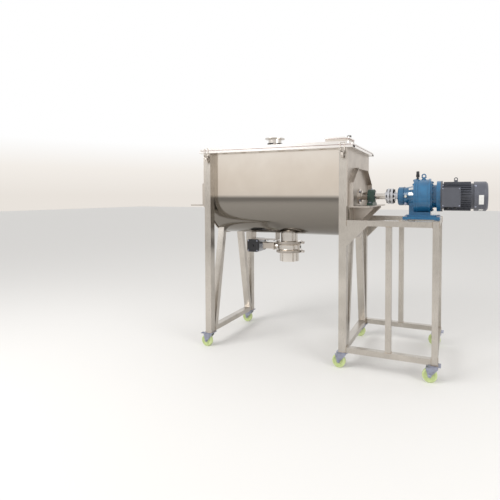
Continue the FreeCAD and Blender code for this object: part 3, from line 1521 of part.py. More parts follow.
def brake_pedal(x, y):
    """Foot pedal on a pin through the fork's cheeks, with its shoe above the wheel."""
    pivot = (x - pedal_out, y, race_low - crown_sheet - pedal_drop)
    width = 2 * fork_inner - 2
    barrel = cylinder("y", 2 * pedal_pin, width, (pivot[0], y - width / 2, pivot[2]))
    plate = bar((44, width, 4), (pivot[0] - 46, y - width / 2, pivot[2] + 2))
    pin_start = y - width / 2 - fork_sheet - 1
    pin = cylinder("y", pedal_pin, width + 2 * fork_sheet + 2, (pivot[0], pin_start, pivot[2]))
    return fuse(barrel, plate, pin)


node(group(*[caster_top(x, y) for x, y in caster_places.values()]), "caster_plates")
for name, (x, y) in caster_places.items():
    node(caster_fork(x, y), f"{name}_caster_fork")
    node(caster_wheel_at(x, y), f"{name}_caster_wheel")
node(brake_pedal(*caster_places["left_front"]), "brake_pedal")

# ---------------------------------------------------------------- checks and files

doc.recompute()
for item in doc.Objects:
    if "Invalid" in item.State or "Error" in item.State:
        raise RuntimeError(f"{item.Label} failed: {item.State}")
for sub_part in nodes:
    if sub_part.Shape.isNull() or not sub_part.Shape.isValid():
        raise RuntimeError(f"{sub_part.Label} has no valid shape")
os.makedirs("parts", exist_ok=True)
for sub_part in nodes:
    sub_part.Shape.exportStep(f"parts/{sub_part.Label}.step")
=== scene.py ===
"""Finishes and small parts of a ribbon blender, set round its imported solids."""
import json
import logging
import math
from collections.abc import Callable, Iterable, Iterator, Sequence
from contextlib import contextmanager
from dataclasses import dataclass, field
from enum import Enum

import bmesh
import bpy
from mathutils import Euler, Matrix, Vector


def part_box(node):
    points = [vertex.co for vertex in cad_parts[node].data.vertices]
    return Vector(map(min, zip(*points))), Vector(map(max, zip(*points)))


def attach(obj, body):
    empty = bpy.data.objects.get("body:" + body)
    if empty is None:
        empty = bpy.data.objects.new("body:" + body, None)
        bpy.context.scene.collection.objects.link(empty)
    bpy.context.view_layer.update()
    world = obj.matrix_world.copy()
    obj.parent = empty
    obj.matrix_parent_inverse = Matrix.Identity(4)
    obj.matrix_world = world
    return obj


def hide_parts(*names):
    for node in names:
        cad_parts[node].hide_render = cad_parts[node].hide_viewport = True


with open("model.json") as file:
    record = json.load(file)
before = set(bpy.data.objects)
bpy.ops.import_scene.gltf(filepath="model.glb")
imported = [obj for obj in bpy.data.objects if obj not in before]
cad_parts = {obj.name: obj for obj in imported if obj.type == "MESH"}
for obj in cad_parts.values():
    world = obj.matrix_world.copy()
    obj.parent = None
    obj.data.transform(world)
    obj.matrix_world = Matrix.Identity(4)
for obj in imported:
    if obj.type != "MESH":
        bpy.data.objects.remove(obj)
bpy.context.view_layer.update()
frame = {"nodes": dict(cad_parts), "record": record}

log = logging.getLogger("ribbon_blender")
logging.basicConfig(level=logging.INFO, format="%(message)s")

MM = 0.001
Point = tuple[float, float, float]


class Axis(Enum):
    """The row axis that a turned or long piece lies along."""

    X = (1.0, 0.0, 0.0)
    Y = (0.0, 1.0, 0.0)
    Z = (0.0, 0.0, 1.0)
    MINUS_X = (-1.0, 0.0, 0.0)
    MINUS_Y = (0.0, -1.0, 0.0)
    MINUS_Z = (0.0, 0.0, -1.0)

    def turn(self) -> Matrix:
        """The turn that brings a piece's own +Z onto this axis."""
        return Vector(self.value).to_track_quat("Z", "Y").to_matrix().to_4x4()


# ------------------------------------------------------------------ workshop: meshes


def mm(*values: float) -> Vector:
    """A point given in millimetres."""
    return Vector(values) * MM


def only(piece: bpy.types.Object) -> None:
    """Selects one piece and makes it active."""
    bpy.ops.object.select_all(action="DESELECT")
    piece.select_set(True)
    bpy.context.view_layer.objects.active = piece


def start(primitive: Callable, **sizes: object) -> bpy.types.Object:
    """Adds a primitive while nothing else is selected.

    Args:
        primitive: the bpy.ops call that adds it.
        sizes: the settings of that call, lengths in metres.

    Returns:
        The new object.
    """
    bpy.ops.object.select_all(action="DESELECT")
    primitive(**sizes)
    return bpy.context.object


def disc(radius: float, height: float, sides: int = 32, low: float = 0.0) -> bpy.types.Object:
    """A round blank standing on z = low; all sizes in millimetres."""
    return start(bpy.ops.mesh.primitive_cylinder_add, vertices=sides, radius=radius * MM,
                 depth=height * MM, location=mm(0, 0, low + height / 2))


def block(size: Sequence[float], centre: Sequence[float] = (0.0, 0.0, 0.0)) -> bpy.types.Object:
    """A rectangular blank of three side lengths round a centre, in millimetres."""
    piece = start(bpy.ops.mesh.primitive_cube_add, size=1.0, location=mm(*centre))
    piece.scale = mm(*size)
    settle(piece)
    return piece


def settle(piece: bpy.types.Object) -> None:
    """Puts the piece's own place, turn and scale into its mesh."""
    only(piece)
    bpy.ops.object.transform_apply(location=True, rotation=True, scale=True)


@contextmanager
def editing(piece: bpy.types.Object, mode: str = "FACE") -> Iterator[None]:
    """Edit mode on one piece with nothing selected.

    Args:
        piece: the piece to shape.
        mode: what is selected, VERT, EDGE or FACE.
    """
    settle(piece)
    bpy.ops.object.mode_set(mode="EDIT")
    bpy.ops.mesh.select_mode(type=mode)
    bpy.ops.mesh.select_all(action="DESELECT")
    try:
        yield
    finally:
        bpy.ops.object.mode_set(mode="OBJECT")


def pick_faces(test: Callable[[Vector, Vector], bool]) -> None:
    """Selects the faces whose centre and normal pass a test, in edit mode."""
    mesh = bmesh.from_edit_mesh(bpy.context.edit_object.data)
    for face in mesh.faces:
        face.select_set(test(face.calc_center_median(), face.normal))
    bmesh.update_edit_mesh(bpy.context.edit_object.data)


def pick_points(test: Callable[[Vector], bool]) -> None:
    """Selects the points that pass a test, in edit mode."""
    mesh = bmesh.from_edit_mesh(bpy.context.edit_object.data)
    for point in mesh.verts:
        point.select_set(test(point.co))
    bmesh.update_edit_mesh(bpy.context.edit_object.data)


def facing(axis: Axis, height: float) -> Callable[[Vector, Vector], bool]:
    """A test for the flat faces that look along an axis at a height in millimetres."""
    way = Vector(axis.value)
    return lambda centre, normal: normal.dot(way) > 0.9 and abs(centre.dot(way) - height * MM) < 2e-6


def step_in(inset: float, rise: float) -> None:
    """Insets the selected flat top, then raises or sinks what is inside it, in millimetres."""
    bpy.ops.mesh.inset(thickness=inset * MM, depth=0.0)
    bpy.ops.mesh.extrude_region_move(TRANSFORM_OT_translate={"value": mm(0, 0, rise)})


def crown(piece: bpy.types.Object, top: float, inset: float, drop: float) -> None:
    """Chamfers the rim of a piece's flat top: the face is inset and what is inside it rises."""
    with editing(piece):
        pick_faces(facing(Axis.Z, top))
        bpy.ops.mesh.inset(thickness=inset * MM, depth=0.0)
        bpy.ops.transform.translate(value=mm(0, 0, drop))


def modify(piece: bpy.types.Object, kind: str, **settings: object) -> None:
    """Adds one modifier and applies it.

    Args:
        piece: the piece.
        kind: the modifier's type.
        settings: its values.
    """
    only(piece)
    made = piece.modifiers.new(kind.title(), kind)
    for name, value in settings.items():
        setattr(made, name, value)
    bpy.ops.object.modifier_apply(modifier=made.name)


def soften(piece: bpy.types.Object, width: float, segments: int = 2, angle: float = 40.0) -> None:
    """Rounds the piece's edges that are sharper than an angle, by a width in millimetres."""
    modify(piece, "BEVEL", width=width * MM, segments=segments, limit_method="ANGLE",
           angle_limit=math.radians(angle), harden_normals=False)


def lathe(steps: Sequence[tuple[float, float]], sides: int = 32) -> bpy.types.Object:
    """A solid turned piece, drawn up step by step from its foot.

    Args:
        steps: (radius, height) of each step in millimetres, the foot first.
        sides: number of sides.

    Returns:
        The piece, standing round the Z axis.
    """
    (foot, low), (first, high) = steps[:2]
    piece = start(bpy.ops.mesh.primitive_cone_add, vertices=sides, radius1=foot * MM, radius2=first * MM,
                  depth=(high - low) * MM, location=mm(0, 0, (low + high) / 2))
    with editing(piece):
        pick_faces(facing(Axis.Z, high))
        for (before, start_height), (radius, height) in zip(steps[1:], steps[2:]):
            rise = mm(0, 0, height - start_height)
            bpy.ops.mesh.extrude_region_move(TRANSFORM_OT_translate={"value": rise})
            ratio = radius / before
            bpy.ops.transform.resize(value=(ratio, ratio, 1.0), center_override=mm(0, 0, height))
    return piece


def spun(profile: Sequence[tuple[float, float]], sides: int = 48, sweep: float = 360.0) -> bpy.types.Object:
    """A ring spun round the Z axis from a closed section.

    Args:
        profile: (radius, height) of each corner of the section in millimetres.
        sides: number of steps round the ring.
        sweep: how far it goes round in degrees.

    Returns:
        The ring.
    """
    piece = start(bpy.ops.mesh.primitive_circle_add, vertices=len(profile), radius=MM)
    mesh = piece.data
    for point, (radius, height) in zip(mesh.vertices, profile):
        point.co = mm(radius, 0, height)
    whole = sweep >= 360.0
    with editing(piece, "EDGE"):
        bpy.ops.mesh.select_all(action="SELECT")
        if not whole:
            bpy.ops.mesh.edge_face_add()
        bpy.ops.mesh.spin(steps=sides, angle=math.radians(sweep), center=(0, 0, 0), axis=(0, 0, 1))
        bpy.ops.mesh.select_all(action="SELECT")
        bpy.ops.mesh.remove_doubles(threshold=1e-6)
        bpy.ops.mesh.normals_make_consistent(inside=False)
    return piece


def ready(piece: bpy.types.Object, name: str, finish: "Shop", body: str,
          angle: float = 35.0) -> bpy.types.Object:
    """Names and dresses a finished piece and sets it on the body that it moves with.

    Args:
        piece: the modelled piece, in its place.
        name: its name.
        finish: its surface.
        body: the record's body that carries it.
        angle: edges sharper than this stay sharp, in degrees.

    Returns:
        The same piece.
    """
    settle(piece)
    piece.name = name
    piece.data.name = name
    piece.data.materials.clear()
    piece.data.materials.append(finish.value.material())
    only(piece)
    bpy.ops.object.shade_smooth_by_angle(angle=math.radians(angle))
    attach(piece, body)
    return piece


def joined(pieces: Sequence[bpy.types.Object]) -> bpy.types.Object:
    """Joins several pieces into the first and returns it."""
    bpy.ops.object.select_all(action="DESELECT")
    for piece in pieces:
        piece.select_set(True)
    bpy.context.view_layer.objects.active = pieces[0]
    if len(pieces) > 1:
        bpy.ops.object.join()
    return pieces[0]


def copies(pattern: bpy.types.Object, places: Iterable[Matrix]) -> bpy.types.Object:
    """Copies a pattern to several places, each copy with its own mesh, and joins them.

    Args:
        pattern: the piece modelled once; it is used up.
        places: one matrix for each copy.

    Returns:
        One joined piece.
    """
    settle(pattern)
    made = []
    for place in places:
        twin = pattern.copy()
        twin.data = pattern.data.copy()
        twin.matrix_world = place
        bpy.context.scene.collection.objects.link(twin)
        made.append(twin)
    bpy.data.objects.remove(pattern)
    bpy.context.view_layer.update()
    whole = joined(made)
    settle(whole)
    return whole


def at(x: float, y: float, z: float, axis: Axis = Axis.Z, spin: float = 0.0) -> Matrix:
    """Where a copy goes: a point in millimetres, the axis it stands on and its own spin in degrees."""
    return Matrix.Translation(mm(x, y, z)) @ axis.turn() @ Matrix.Rotation(math.radians(spin), 4, "Z")


def round_x(x: float, height: float, radius: float, count: int, axis: Axis = Axis.X,
            first: float = 0.0) -> list[Matrix]:
    """Places on a circle about a line parallel to X at y = 0.

    Args:
        x: where along the line, in millimetres.
        height: height of the line.
        radius: radius of the circle.
        count: number of places.
        axis: the way the copies face.
        first: angle of the first place in degrees.

    Returns:
        One matrix for each place.
    """
    angles = [math.radians(first + 360 * index / count) for index in range(count)]
    return [at(x, radius * math.cos(a), height + radius * math.sin(a), axis, math.degrees(a)) for a in angles]


# ------------------------------------------------------------------ workshop: finishes


def linear(code: str) -> tuple[float, float, float, float]:
    """Turns an sRGB hex colour such as "c8d0d4" to the linear RGBA that sockets hold."""
    parts = [int(code[index:index + 2], 16) / 255 for index in (0, 2, 4)]
    bent = [part / 12.92 if part <= 0.04045 else ((part + 0.055) / 1.055) ** 2.4 for part in parts]
    return (bent[0], bent[1], bent[2], 1.0)


def per_metre(length_mm: float) -> float:
    """The pattern scale that repeats every so many millimetres of Object coordinates."""
    return 1000.0 / length_mm


def add_node(tree: bpy.types.NodeTree, kind: str, settings: dict[str, object] | None = None,
             links: dict[str | int, bpy.types.NodeSocket] | None = None) -> bpy.types.Node:
    """Adds one node with its settings and its incoming links.

    Args:
        tree: the node tree it goes in.
        kind: the node's type.
        settings: its own values and its sockets' values, by name.
        links: what its inputs are fed from, by name or number.

    Returns:
        The node.
    """
    made = tree.nodes.new(kind)
    for name, value in (settings or {}).items():
        if hasattr(made, name):
            setattr(made, name, value)
        else:
            made.inputs[name].default_value = value
    for name, source in (links or {}).items():
        tree.links.new(source, made.inputs[name])
    return made


@dataclass(frozen=True)
class Finish:
    """A surface: what it is made of and how it was worked.

    Every finish has a broad, faint drift of colour and a fine relief; the numbers say how much.
    """

    name: str
    colour: str
    worn: str
    metallic: float = 0.0
    roughness: float = 0.5
    uneven: float = 0.08
    drift_mm: float = 180.0
    drift: float = 0.5
    relief_mm: float = 4.0
    relief_depth_mm: float = 0.05
    grain: Point = (1.0, 1.0, 1.0)
    coat: float = 0.0
    specular: float = 0.5
    sheet_waves_mm: float = 0.0
    edge_wear: float = 0.0
    # painted reflection: the height below which the sheet's colour is darkened, and the dark colour that
    # stands in for the ground seen in the metal
    painted_reflection_below_m: float = 0.0
    painted_reflection_colour: str = ""

    def material(self) -> bpy.types.Material:
        """Makes the material, or gives the one made before."""
        if self.name in bpy.data.materials:
            return bpy.data.materials[self.name]
        made = bpy.data.materials.new(self.name)
        made.use_nodes = True
        tree = made.node_tree
        tree.nodes.clear()
        place = add_node(tree, "ShaderNodeTexCoord").outputs["Object"]
        broad = add_node(tree, "ShaderNodeTexNoise", {"Scale": per_metre(self.drift_mm), "Detail": 3.0},
                         {"Vector": place}).outputs["Fac"]
        along = add_node(tree, "ShaderNodeMapping", {"Scale": self.grain}, {"Vector": place}).outputs[0]
        fine = add_node(tree, "ShaderNodeTexNoise", {"Scale": per_metre(self.relief_mm), "Detail": 2.0},
                        {"Vector": along}).outputs["Fac"]
        amount = add_node(tree, "ShaderNodeMapRange",
                          {"From Min": 0.3, "From Max": 0.7, "To Max": self.drift},
                          {"Value": broad}).outputs[0]
        colour = add_node(tree, "ShaderNodeMix", {"data_type": "RGBA"}, {0: amount})
        colour.inputs[6].default_value = linear(self.colour)
        colour.inputs[7].default_value = linear(self.worn)
        shown = colour.outputs[2]
        # painted reflection: darkens the colour below a height, standing in for the darker ground reflected
        # in the metal
        if self.painted_reflection_colour:
            shown = self.paint_dark_low_reflection(tree, shown, place)
        if self.edge_wear:
            shown = self.rub_edges(tree, shown, fine)
        rough = add_node(tree, "ShaderNodeMapRange",
                         {"From Min": 0.3, "From Max": 0.7, "To Min": self.roughness - self.uneven,
                          "To Max": self.roughness + self.uneven}, {"Value": fine}).outputs[0]
        bump = add_node(tree, "ShaderNodeBump", {"Strength": 0.6, "Distance": self.relief_depth_mm * MM},
                        {"Height": fine}).outputs[0]
        if self.sheet_waves_mm:
            waves = add_node(tree, "ShaderNodeTexNoise", {"Scale": per_metre(420.0), "Detail": 1.0},
                             {"Vector": place}).outputs["Fac"]
            bump = add_node(tree, "ShaderNodeBump", {"Strength": 1.0, "Distance": self.sheet_waves_mm * MM},
                            {"Height": waves, "Normal": bump}).outputs[0]
        surface = add_node(tree, "ShaderNodeBsdfPrincipled",
                           {"Metallic": self.metallic, "Coat Weight": self.coat, "Coat Roughness": 0.12,
                            "Specular IOR Level": self.specular},
                           {"Base Color": shown, "Roughness": rough, "Normal": bump})
        add_node(tree, "ShaderNodeOutputMaterial", {}, {"Surface": surface.outputs[0]})
        return made

    def paint_dark_low_reflection(self, tree: bpy.types.NodeTree, colour: bpy.types.NodeSocket,
                   place: bpy.types.NodeSocket) -> bpy.types.NodeSocket:
        """Darkens the sheet's colour below a height: a painted reflection of the darker ground, painted shade
        on the round bottom.

        Args:
            tree: the material's tree.
            colour: the colour so far.
            place: Object coordinates.

        Returns:
            The colour of both zones.
        """
        height = add_node(tree, "ShaderNodeSeparateXYZ", {}, {0: place}).outputs["Z"]
        # painted reflection mask: 0 above the height, rising to 1 below it
        painted_reflection_mask = add_node(tree, "ShaderNodeMapRange",
                         {"From Min": self.painted_reflection_below_m + 0.012, "From Max": self.painted_reflection_below_m - 0.02},
                         {"Value": height}).outputs[0]
        mixed = add_node(tree, "ShaderNodeMix", {"data_type": "RGBA"}, {0: painted_reflection_mask, 6: colour})
        mixed.inputs[7].default_value = linear(self.painted_reflection_colour)
        return mixed.outputs[2]

    def rub_edges(self, tree: bpy.types.NodeTree, colour: bpy.types.NodeSocket,
                  fine: bpy.types.NodeSocket) -> bpy.types.NodeSocket:
        """Lightens convex edges, broken up by the fine pattern, as handling does to paint.

        Args:
            tree: the material's tree.
            colour: the colour so far.
            fine: the fine pattern.

        Returns:
            The colour with its rubbed edges.
        """
        edge = add_node(tree, "ShaderNodeNewGeometry").outputs["Pointiness"]
        spot = add_node(tree, "ShaderNodeMath", {"operation": "MULTIPLY"}, {0: edge, 1: fine}).outputs[0]
        rubbed = add_node(tree, "ShaderNodeMapRange",
                          {"From Min": 0.27, "From Max": 0.34, "To Max": self.edge_wear},
                          {"Value": spot}).outputs[0]
        mixed = add_node(tree, "ShaderNodeMix", {"data_type": "RGBA"}, {0: rubbed, 6: colour})
        mixed.inputs[7].default_value = linear(self.worn)
        return mixed.outputs[2]


class Shop(Enum):
    """The finishes on this machine."""

    # 304 stainless sheet, 2B mill finish polished to a satin: long soft reflections, faintly warm
    SHEET = Finish("polished_stainless_sheet", "e2ddd7", "d2cbc3", 1.0, 0.13, 0.03, 260, 0.5, 1.6, 0.003,
                   (0.04, 1.0, 1.0), sheet_waves_mm=0.8)
    # the same sheet rolled to the round bottom; below the bend its colour is darker, a painted reflection of
    # the darker ground (painted shade)
    TROUGH = Finish("stainless_trough_painted_reflection", "e6dfd6", "d8cec3", 1.0, 0.13, 0.03, 260, 0.5, 1.6, 0.003,
                    (0.04, 1.0, 1.0), sheet_waves_mm=0.8, painted_reflection_below_m=1.572, painted_reflection_colour="827d76")
    # cold-rolled stainless sheet of the lid: brighter, its grain along the machine
    LID = Finish("stainless_lid_sheet", "eeeae6", "dcd7d2", 1.0, 0.24, 0.04, 300, 0.5, 1.6, 0.004,
                 (0.04, 1.0, 1.0), sheet_waves_mm=0.8)
    # square stainless tube, brushed along its length: cool and even
    TUBE = Finish("brushed_stainless_tube", "c9c3bb", "aaa49c", 1.0, 0.3, 0.06, 220, 0.6, 1.8, 0.01,
                  (1.0, 1.0, 0.03))
    # laser-cut plate, welded and wiped: duller than the tube
    PLATE = Finish("cut_stainless_plate", "c5bdb4", "a59d95", 1.0, 0.36, 0.06, 120, 0.6, 1.5, 0.01)
    # turned bar: clean and bright with fine tool marks across its axis
    TURNED = Finish("turned_stainless_bar", "d5cfc8", "b9b2aa", 1.0, 0.2, 0.05, 90, 0.5, 1.2, 0.01,
                    (1.0, 0.05, 0.05))
    # machined carbon steel of the coupling: bright, slightly cooler
    STEEL = Finish("machined_steel", "cfcfd2", "a8a8ad", 1.0, 0.24, 0.06, 60, 0.5, 1.2, 0.01,
                   (1.0, 0.05, 0.05))
    # weld metal, brushed clean, still faintly straw-coloured from the heat
    WELD = Finish("weld_bead", "b8a894", "8d8276", 1.0, 0.34, 0.08, 14, 0.8, 3.0, 0.12)
    # zinc plate with a blue passivation: cool grey, clouded
    ZINC = Finish("blue_zinc_plate", "a9aec2", "8b8a90", 1.0, 0.3, 0.08, 22, 0.7, 2.0, 0.02)
    # cast iron under semi-gloss machine enamel, dark green
    GREEN = Finish("green_enamel_casting", "355248", "243a32", 0.0, 0.42, 0.08, 40, 0.6, 3.2, 0.16,
                   coat=0.2, edge_wear=0.5)
    # cast iron under gloss machine enamel, blue
    BLUE = Finish("blue_enamel_casting", "246a94", "184e74", 0.0, 0.33, 0.07, 70, 0.6, 3.2, 0.14,
                  coat=0.5, edge_wear=0.25)
    # cast aluminium motor under satin enamel, slate grey
    GREY = Finish("slate_enamel_casting", "54565e", "45474e", 0.0, 0.42, 0.06, 70, 0.5, 2.4, 0.08,
                  coat=0.15, edge_wear=0.3)
    # pressed sheet cowl under the same enamel, smoother
    COWL = Finish("slate_enamel_sheet", "5a5c65", "4c4e56", 0.0, 0.38, 0.05, 120, 0.5, 1.6, 0.02, coat=0.15)
    # moulded nylon and phenolic: dense black with a soft shine
    BLACK = Finish("black_moulded_nylon", "1c1c1f", "2b2b2e", 0.0, 0.45, 0.07, 30, 0.5, 1.4, 0.04)
    # black-oxide steel bolts: dark, slightly oily
    OXIDE = Finish("black_oxide_steel", "2a2a2d", "3d3b3a", 0.8, 0.42, 0.08, 18, 0.6, 1.4, 0.03)
    # hard-anodised extrusion of the actuator: satin grey
    ANODISED = Finish("anodised_aluminium", "8f939b", "7c8088", 1.0, 0.38, 0.05, 60, 0.4, 1.2, 0.01,
                      (1.0, 0.05, 1.0))
    # cast polyurethane tread and centre: pale yellow-green, waxy
    URETHANE = Finish("cast_polyurethane", "c9d69a", "b9c788", 0.0, 0.42, 0.06, 26, 0.6, 2.4, 0.05)
    # moulded silicone profile: brick pink, matt
    SILICONE = Finish("red_silicone_rubber", "b4463e", "9c3a34", 0.0, 0.6, 0.05, 50, 0.5, 2.0, 0.03)
    # silicon-steel laminations seen on edge
    CORE = Finish("lamination_steel", "6b6b70", "4f4f54", 1.0, 0.45, 0.08, 20, 0.5, 1.0, 0.05,
                  (1.0, 0.02, 0.02))
    # clear sight-glass
    LENS = Finish("sight_glass_lens", "dfe7e2", "c6d2c8", 0.0, 0.08, 0.02, 20, 0.3, 3.0, 0.0, coat=1.0)
    # bare anodised plates where a maker would put a name
    PLAQUE = Finish("bare_aluminium_plate", "e9e9e6", "d9d9d6", 0.4, 0.4, 0.05, 20, 0.4, 1.0, 0.01)
    # white-painted steel oil pipe
    WHITE = Finish("white_painted_tube", "e6e6e2", "cfcfc9", 0.0, 0.35, 0.05, 20, 0.4, 2.0, 0.02, coat=0.3)


# ------------------------------------------------------------------ workshop: hardware


def hex_head(flats: float, height: float, washer: float = 0.0) -> bpy.types.Object:
    """A hexagon head with a chamfered crown on its washer, standing on z = 0.

    Args:
        flats: width across the flats in millimetres.
        height: height of the head.
        washer: radius of the washer, or 0 for none.

    Returns:
        The head.
    """
    sheet = 0.12 * flats if washer else 0.0
    head = disc(flats / math.sqrt(3), height * 0.85, sides=6, low=sheet)
    crown(head, sheet + height * 0.85, flats * 0.07, height * 0.15)
    if not washer:
        return head
    plate = disc(washer, sheet, sides=24)
    crown(plate, sheet, washer * 0.06, sheet * 0.15)
    return joined([head, plate])


def hex_nut(flats: float, height: float, stud: float, reach: float) -> bpy.types.Object:
    """A nut on its washer with the rounded end of the stud standing out of it."""
    nut = hex_head(flats, height, flats * 0.9)
    end = lathe([(stud, 0), (stud, height + reach), (stud * 0.8, height + reach + stud * 0.3)], 16)
    return joined([nut, end])


def cap_screw(radius: float, height: float) -> bpy.types.Object:
    """A round socket head with its key recess, standing on z = 0."""
    head = disc(radius, height, sides=24)
    crown(head, height, radius * 0.1, height * 0.08)
    top = height * 1.08
    with editing(head):
        pick_faces(facing(Axis.Z, top))
        step_in(radius * 0.36, -height * 0.55)
    return head


def dome_head(radius: float, rise: float) -> bpy.types.Object:
    """A low round head, such as a rivet or a slotted screw's."""
    return lathe([(radius, 0), (radius, rise * 0.35), (radius * 0.86, rise * 0.72),
                  (radius * 0.55, rise * 0.95), (radius * 0.12, rise)], 20)


def ring_section(radius: float, height: float, width: float, depth: float,
                 corner: float) -> list[tuple[float, float]]:
    """A rectangular section with cut corners, from its inner radius and its foot."""
    far, top = radius + width, height + depth
    return [(radius, height + corner), (radius + corner, height), (far - corner, height),
            (far, height + corner), (far, top - corner), (far - corner, top),
            (radius + corner, top), (radius, top - corner)]


def weld_loop(width: float, depth: float, bead: float = 4.0) -> bpy.types.Object:
    """The bead round the end of a square tube, lying on z = 0 round the Z axis.

    Args:
        width: the tube's width in millimetres.
        depth: its depth.
        bead: the bead's leg.

    Returns:
        The bead.
    """
    plate = block((width + 2 * bead, depth + 2 * bead, bead * 0.5), (0, 0, bead * 0.25))
    with editing(plate):
        pick_faces(facing(Axis.Z, bead * 0.5))
        bpy.ops.mesh.inset(thickness=bead * 0.9 * MM, depth=0.0)
        bpy.ops.transform.translate(value=mm(0, 0, bead * 0.5))
    soften(plate, bead * 0.28, 2, 20)
    return plate


def weld_run(length: float, bead: float = 3.0, step: float = 6.0) -> bpy.types.Object:
    """A straight bead along +Z with the ripples that a torch leaves.

    Args:
        length: its length in millimetres.
        bead: its radius.
        step: from one ripple to the next.

    Returns:
        The bead.
    """
    count = max(2, round(length / step))
    pitch = length / count
    steps = [(bead * 0.5, 0.0)]
    for index in range(count):
        steps += [(bead, (index + 0.35) * pitch), (bead * 0.82, (index + 1) * pitch)]
    return lathe(steps, 8)


def plaque(width: float, height: float, sheet: float = 0.8) -> bpy.types.Object:
    """A bare plate with a raised border and a rivet at each corner, lying on z = 0."""
    plate = block((width, height, sheet), (0, 0, sheet / 2))
    with editing(plate):
        pick_faces(facing(Axis.Z, sheet))
        step_in(min(width, height) * 0.06, -sheet * 0.4)
    soften(plate, 0.2, 1)
    edge = min(width, height) * 0.12
    corners = [at(x * (width / 2 - edge), y * (height / 2 - edge), sheet * 0.6)
               for x in (-1, 1) for y in (-1, 1)]
    return joined([plate, copies(dome_head(edge * 0.5, 1.0), corners)])


@dataclass(frozen=True)
class Machine:
    """Places that several sets share, in millimetres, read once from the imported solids."""

    left: float
    right: float
    front: float
    back: float
    rim_foot: float
    shaft: float
    stand_top: float
    stand_end: float
    leg: float = 70.0
    tube: float = 50.0
    leg_foot: float = 155.0
    end_sheet: float = 10.0

    @classmethod
    def measured(cls) -> "Machine":
        """Reads the driving places off the trough's frame, the stand and the motor."""
        frame_low, frame_high = reach("trough_frame")
        rotor_low, rotor_high = reach("motor_rotor")
        stand_high = reach("stand_frame")[1]
        return cls(left=frame_low.x, right=frame_high.x, front=frame_low.y, back=frame_high.y,
                   rim_foot=frame_high.z, shaft=(rotor_low.z + rotor_high.z) / 2,
                   stand_top=stand_high.z, stand_end=stand_high.x)


def reach(node: str) -> tuple[Vector, Vector]:
    """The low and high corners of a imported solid, in millimetres."""
    low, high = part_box(node)
    return low / MM, high / MM


# ------------------------------------------------------------------ frame and trough


@dataclass
class FrameSet:
    """Weld beads, gusset stitches and tube caps of the frame and the stand."""

    machine: Machine
    bead: float = 4.0
    post: float = 350.0
    beam: float = 460.0
    gusset: float = 190.0
    gusset_sheet: float = 6.0
    cap_sheet: float = 4.0

    def build(self) -> list[bpy.types.Object]:
        """Makes every piece of the set."""
        return [self.leg_beads(), self.rail_beads(), self.post_beads(), self.gusset_beads(), self.caps()]

    def leg_beads(self) -> bpy.types.Object:
        """Beads where the low cross rails meet the trough's legs."""
        m = self.machine
        z = m.leg_foot + m.tube / 2
        places = [at(x + m.leg / 2, y, z, way)
                  for x in (m.left, m.right - m.leg)
                  for y, way in ((m.front + m.leg, Axis.Y), (m.back - m.leg, Axis.MINUS_Y))]
        loops = copies(weld_loop(m.leg, m.tube, self.bead), places)
        return ready(loops, "leg_rail_beads", Shop.WELD, "machine")

    def rail_beads(self) -> bpy.types.Object:
        """Beads at both ends of the stand's long rails, cross rails and drive beam."""
        m = self.machine
        half = m.tube / 2
        heights = (m.leg_foot + half, m.stand_top - half)
        places = []
        for z in heights:
            for y in (m.front + half, m.back - half):
                places += [at(m.right, y, z, Axis.X), at(m.stand_end - m.tube, y, z, Axis.MINUS_X)]
            for y, way in ((m.front + m.tube, Axis.Y), (m.back - m.tube, Axis.MINUS_Y)):
                places.append(at(m.stand_end - half, y, z, way))
        for y, way in ((m.front + m.tube, Axis.Y), (m.back - m.tube, Axis.MINUS_Y)):
            places.append(at(m.right + self.beam + half, y, heights[1], way))
        loops = copies(weld_loop(m.tube, m.tube, self.bead), places)
        return ready(loops, "stand_rail_beads", Shop.WELD, "machine")

    def post_beads(self) -> bpy.types.Object:
        """Beads at the foot and the head of the stand's middle posts."""
        m = self.machine
        half = m.tube / 2
        places = [at(m.right + self.post + half, y, z, way)
                  for y in (m.front + half, m.back - half)
                  for z, way in ((m.leg_foot + m.tube, Axis.Z), (m.stand_top - m.tube, Axis.MINUS_Z))]
        loops = copies(weld_loop(m.tube, m.tube, self.bead), places)
        return ready(loops, "stand_post_beads", Shop.WELD, "machine")

    def gusset_beads(self) -> bpy.types.Object:
        """Stitches along the two straight edges of each corner gusset, on its inner side."""
        m = self.machine
        low = m.stand_top - m.tube
        runs = []
        for y in (m.front + self.gusset_sheet, m.back - self.gusset_sheet):
            for share in (0.12, 0.45, 0.74):
                runs.append(at(m.right, y, low - self.gusset * (share + 0.14), Axis.Z))
                runs.append(at(m.right + self.gusset * share, y, low, Axis.X))
        stitches = copies(weld_run(self.gusset * 0.14, self.bead * 0.7), runs)
        return ready(stitches, "gusset_stitches", Shop.WELD, "machine", 60)

    def caps(self) -> bpy.types.Object:
        """Pressed caps that close the open tops of the stand's end legs."""
        m = self.machine
        side = m.tube - 2.0
        cap = block((side, side, self.cap_sheet), (0, 0, self.cap_sheet / 2))
        with editing(cap):
            pick_faces(facing(Axis.Z, self.cap_sheet))
            step_in(side * 0.1, self.cap_sheet * 0.35)
        soften(cap, 1.2, 2)
        places = [at(m.stand_end - m.tube / 2, y, m.stand_top)
                  for y in (m.front + m.tube / 2, m.back - m.tube / 2)]
        return ready(copies(cap, places), "stand_tube_caps", Shop.PLATE, "machine")


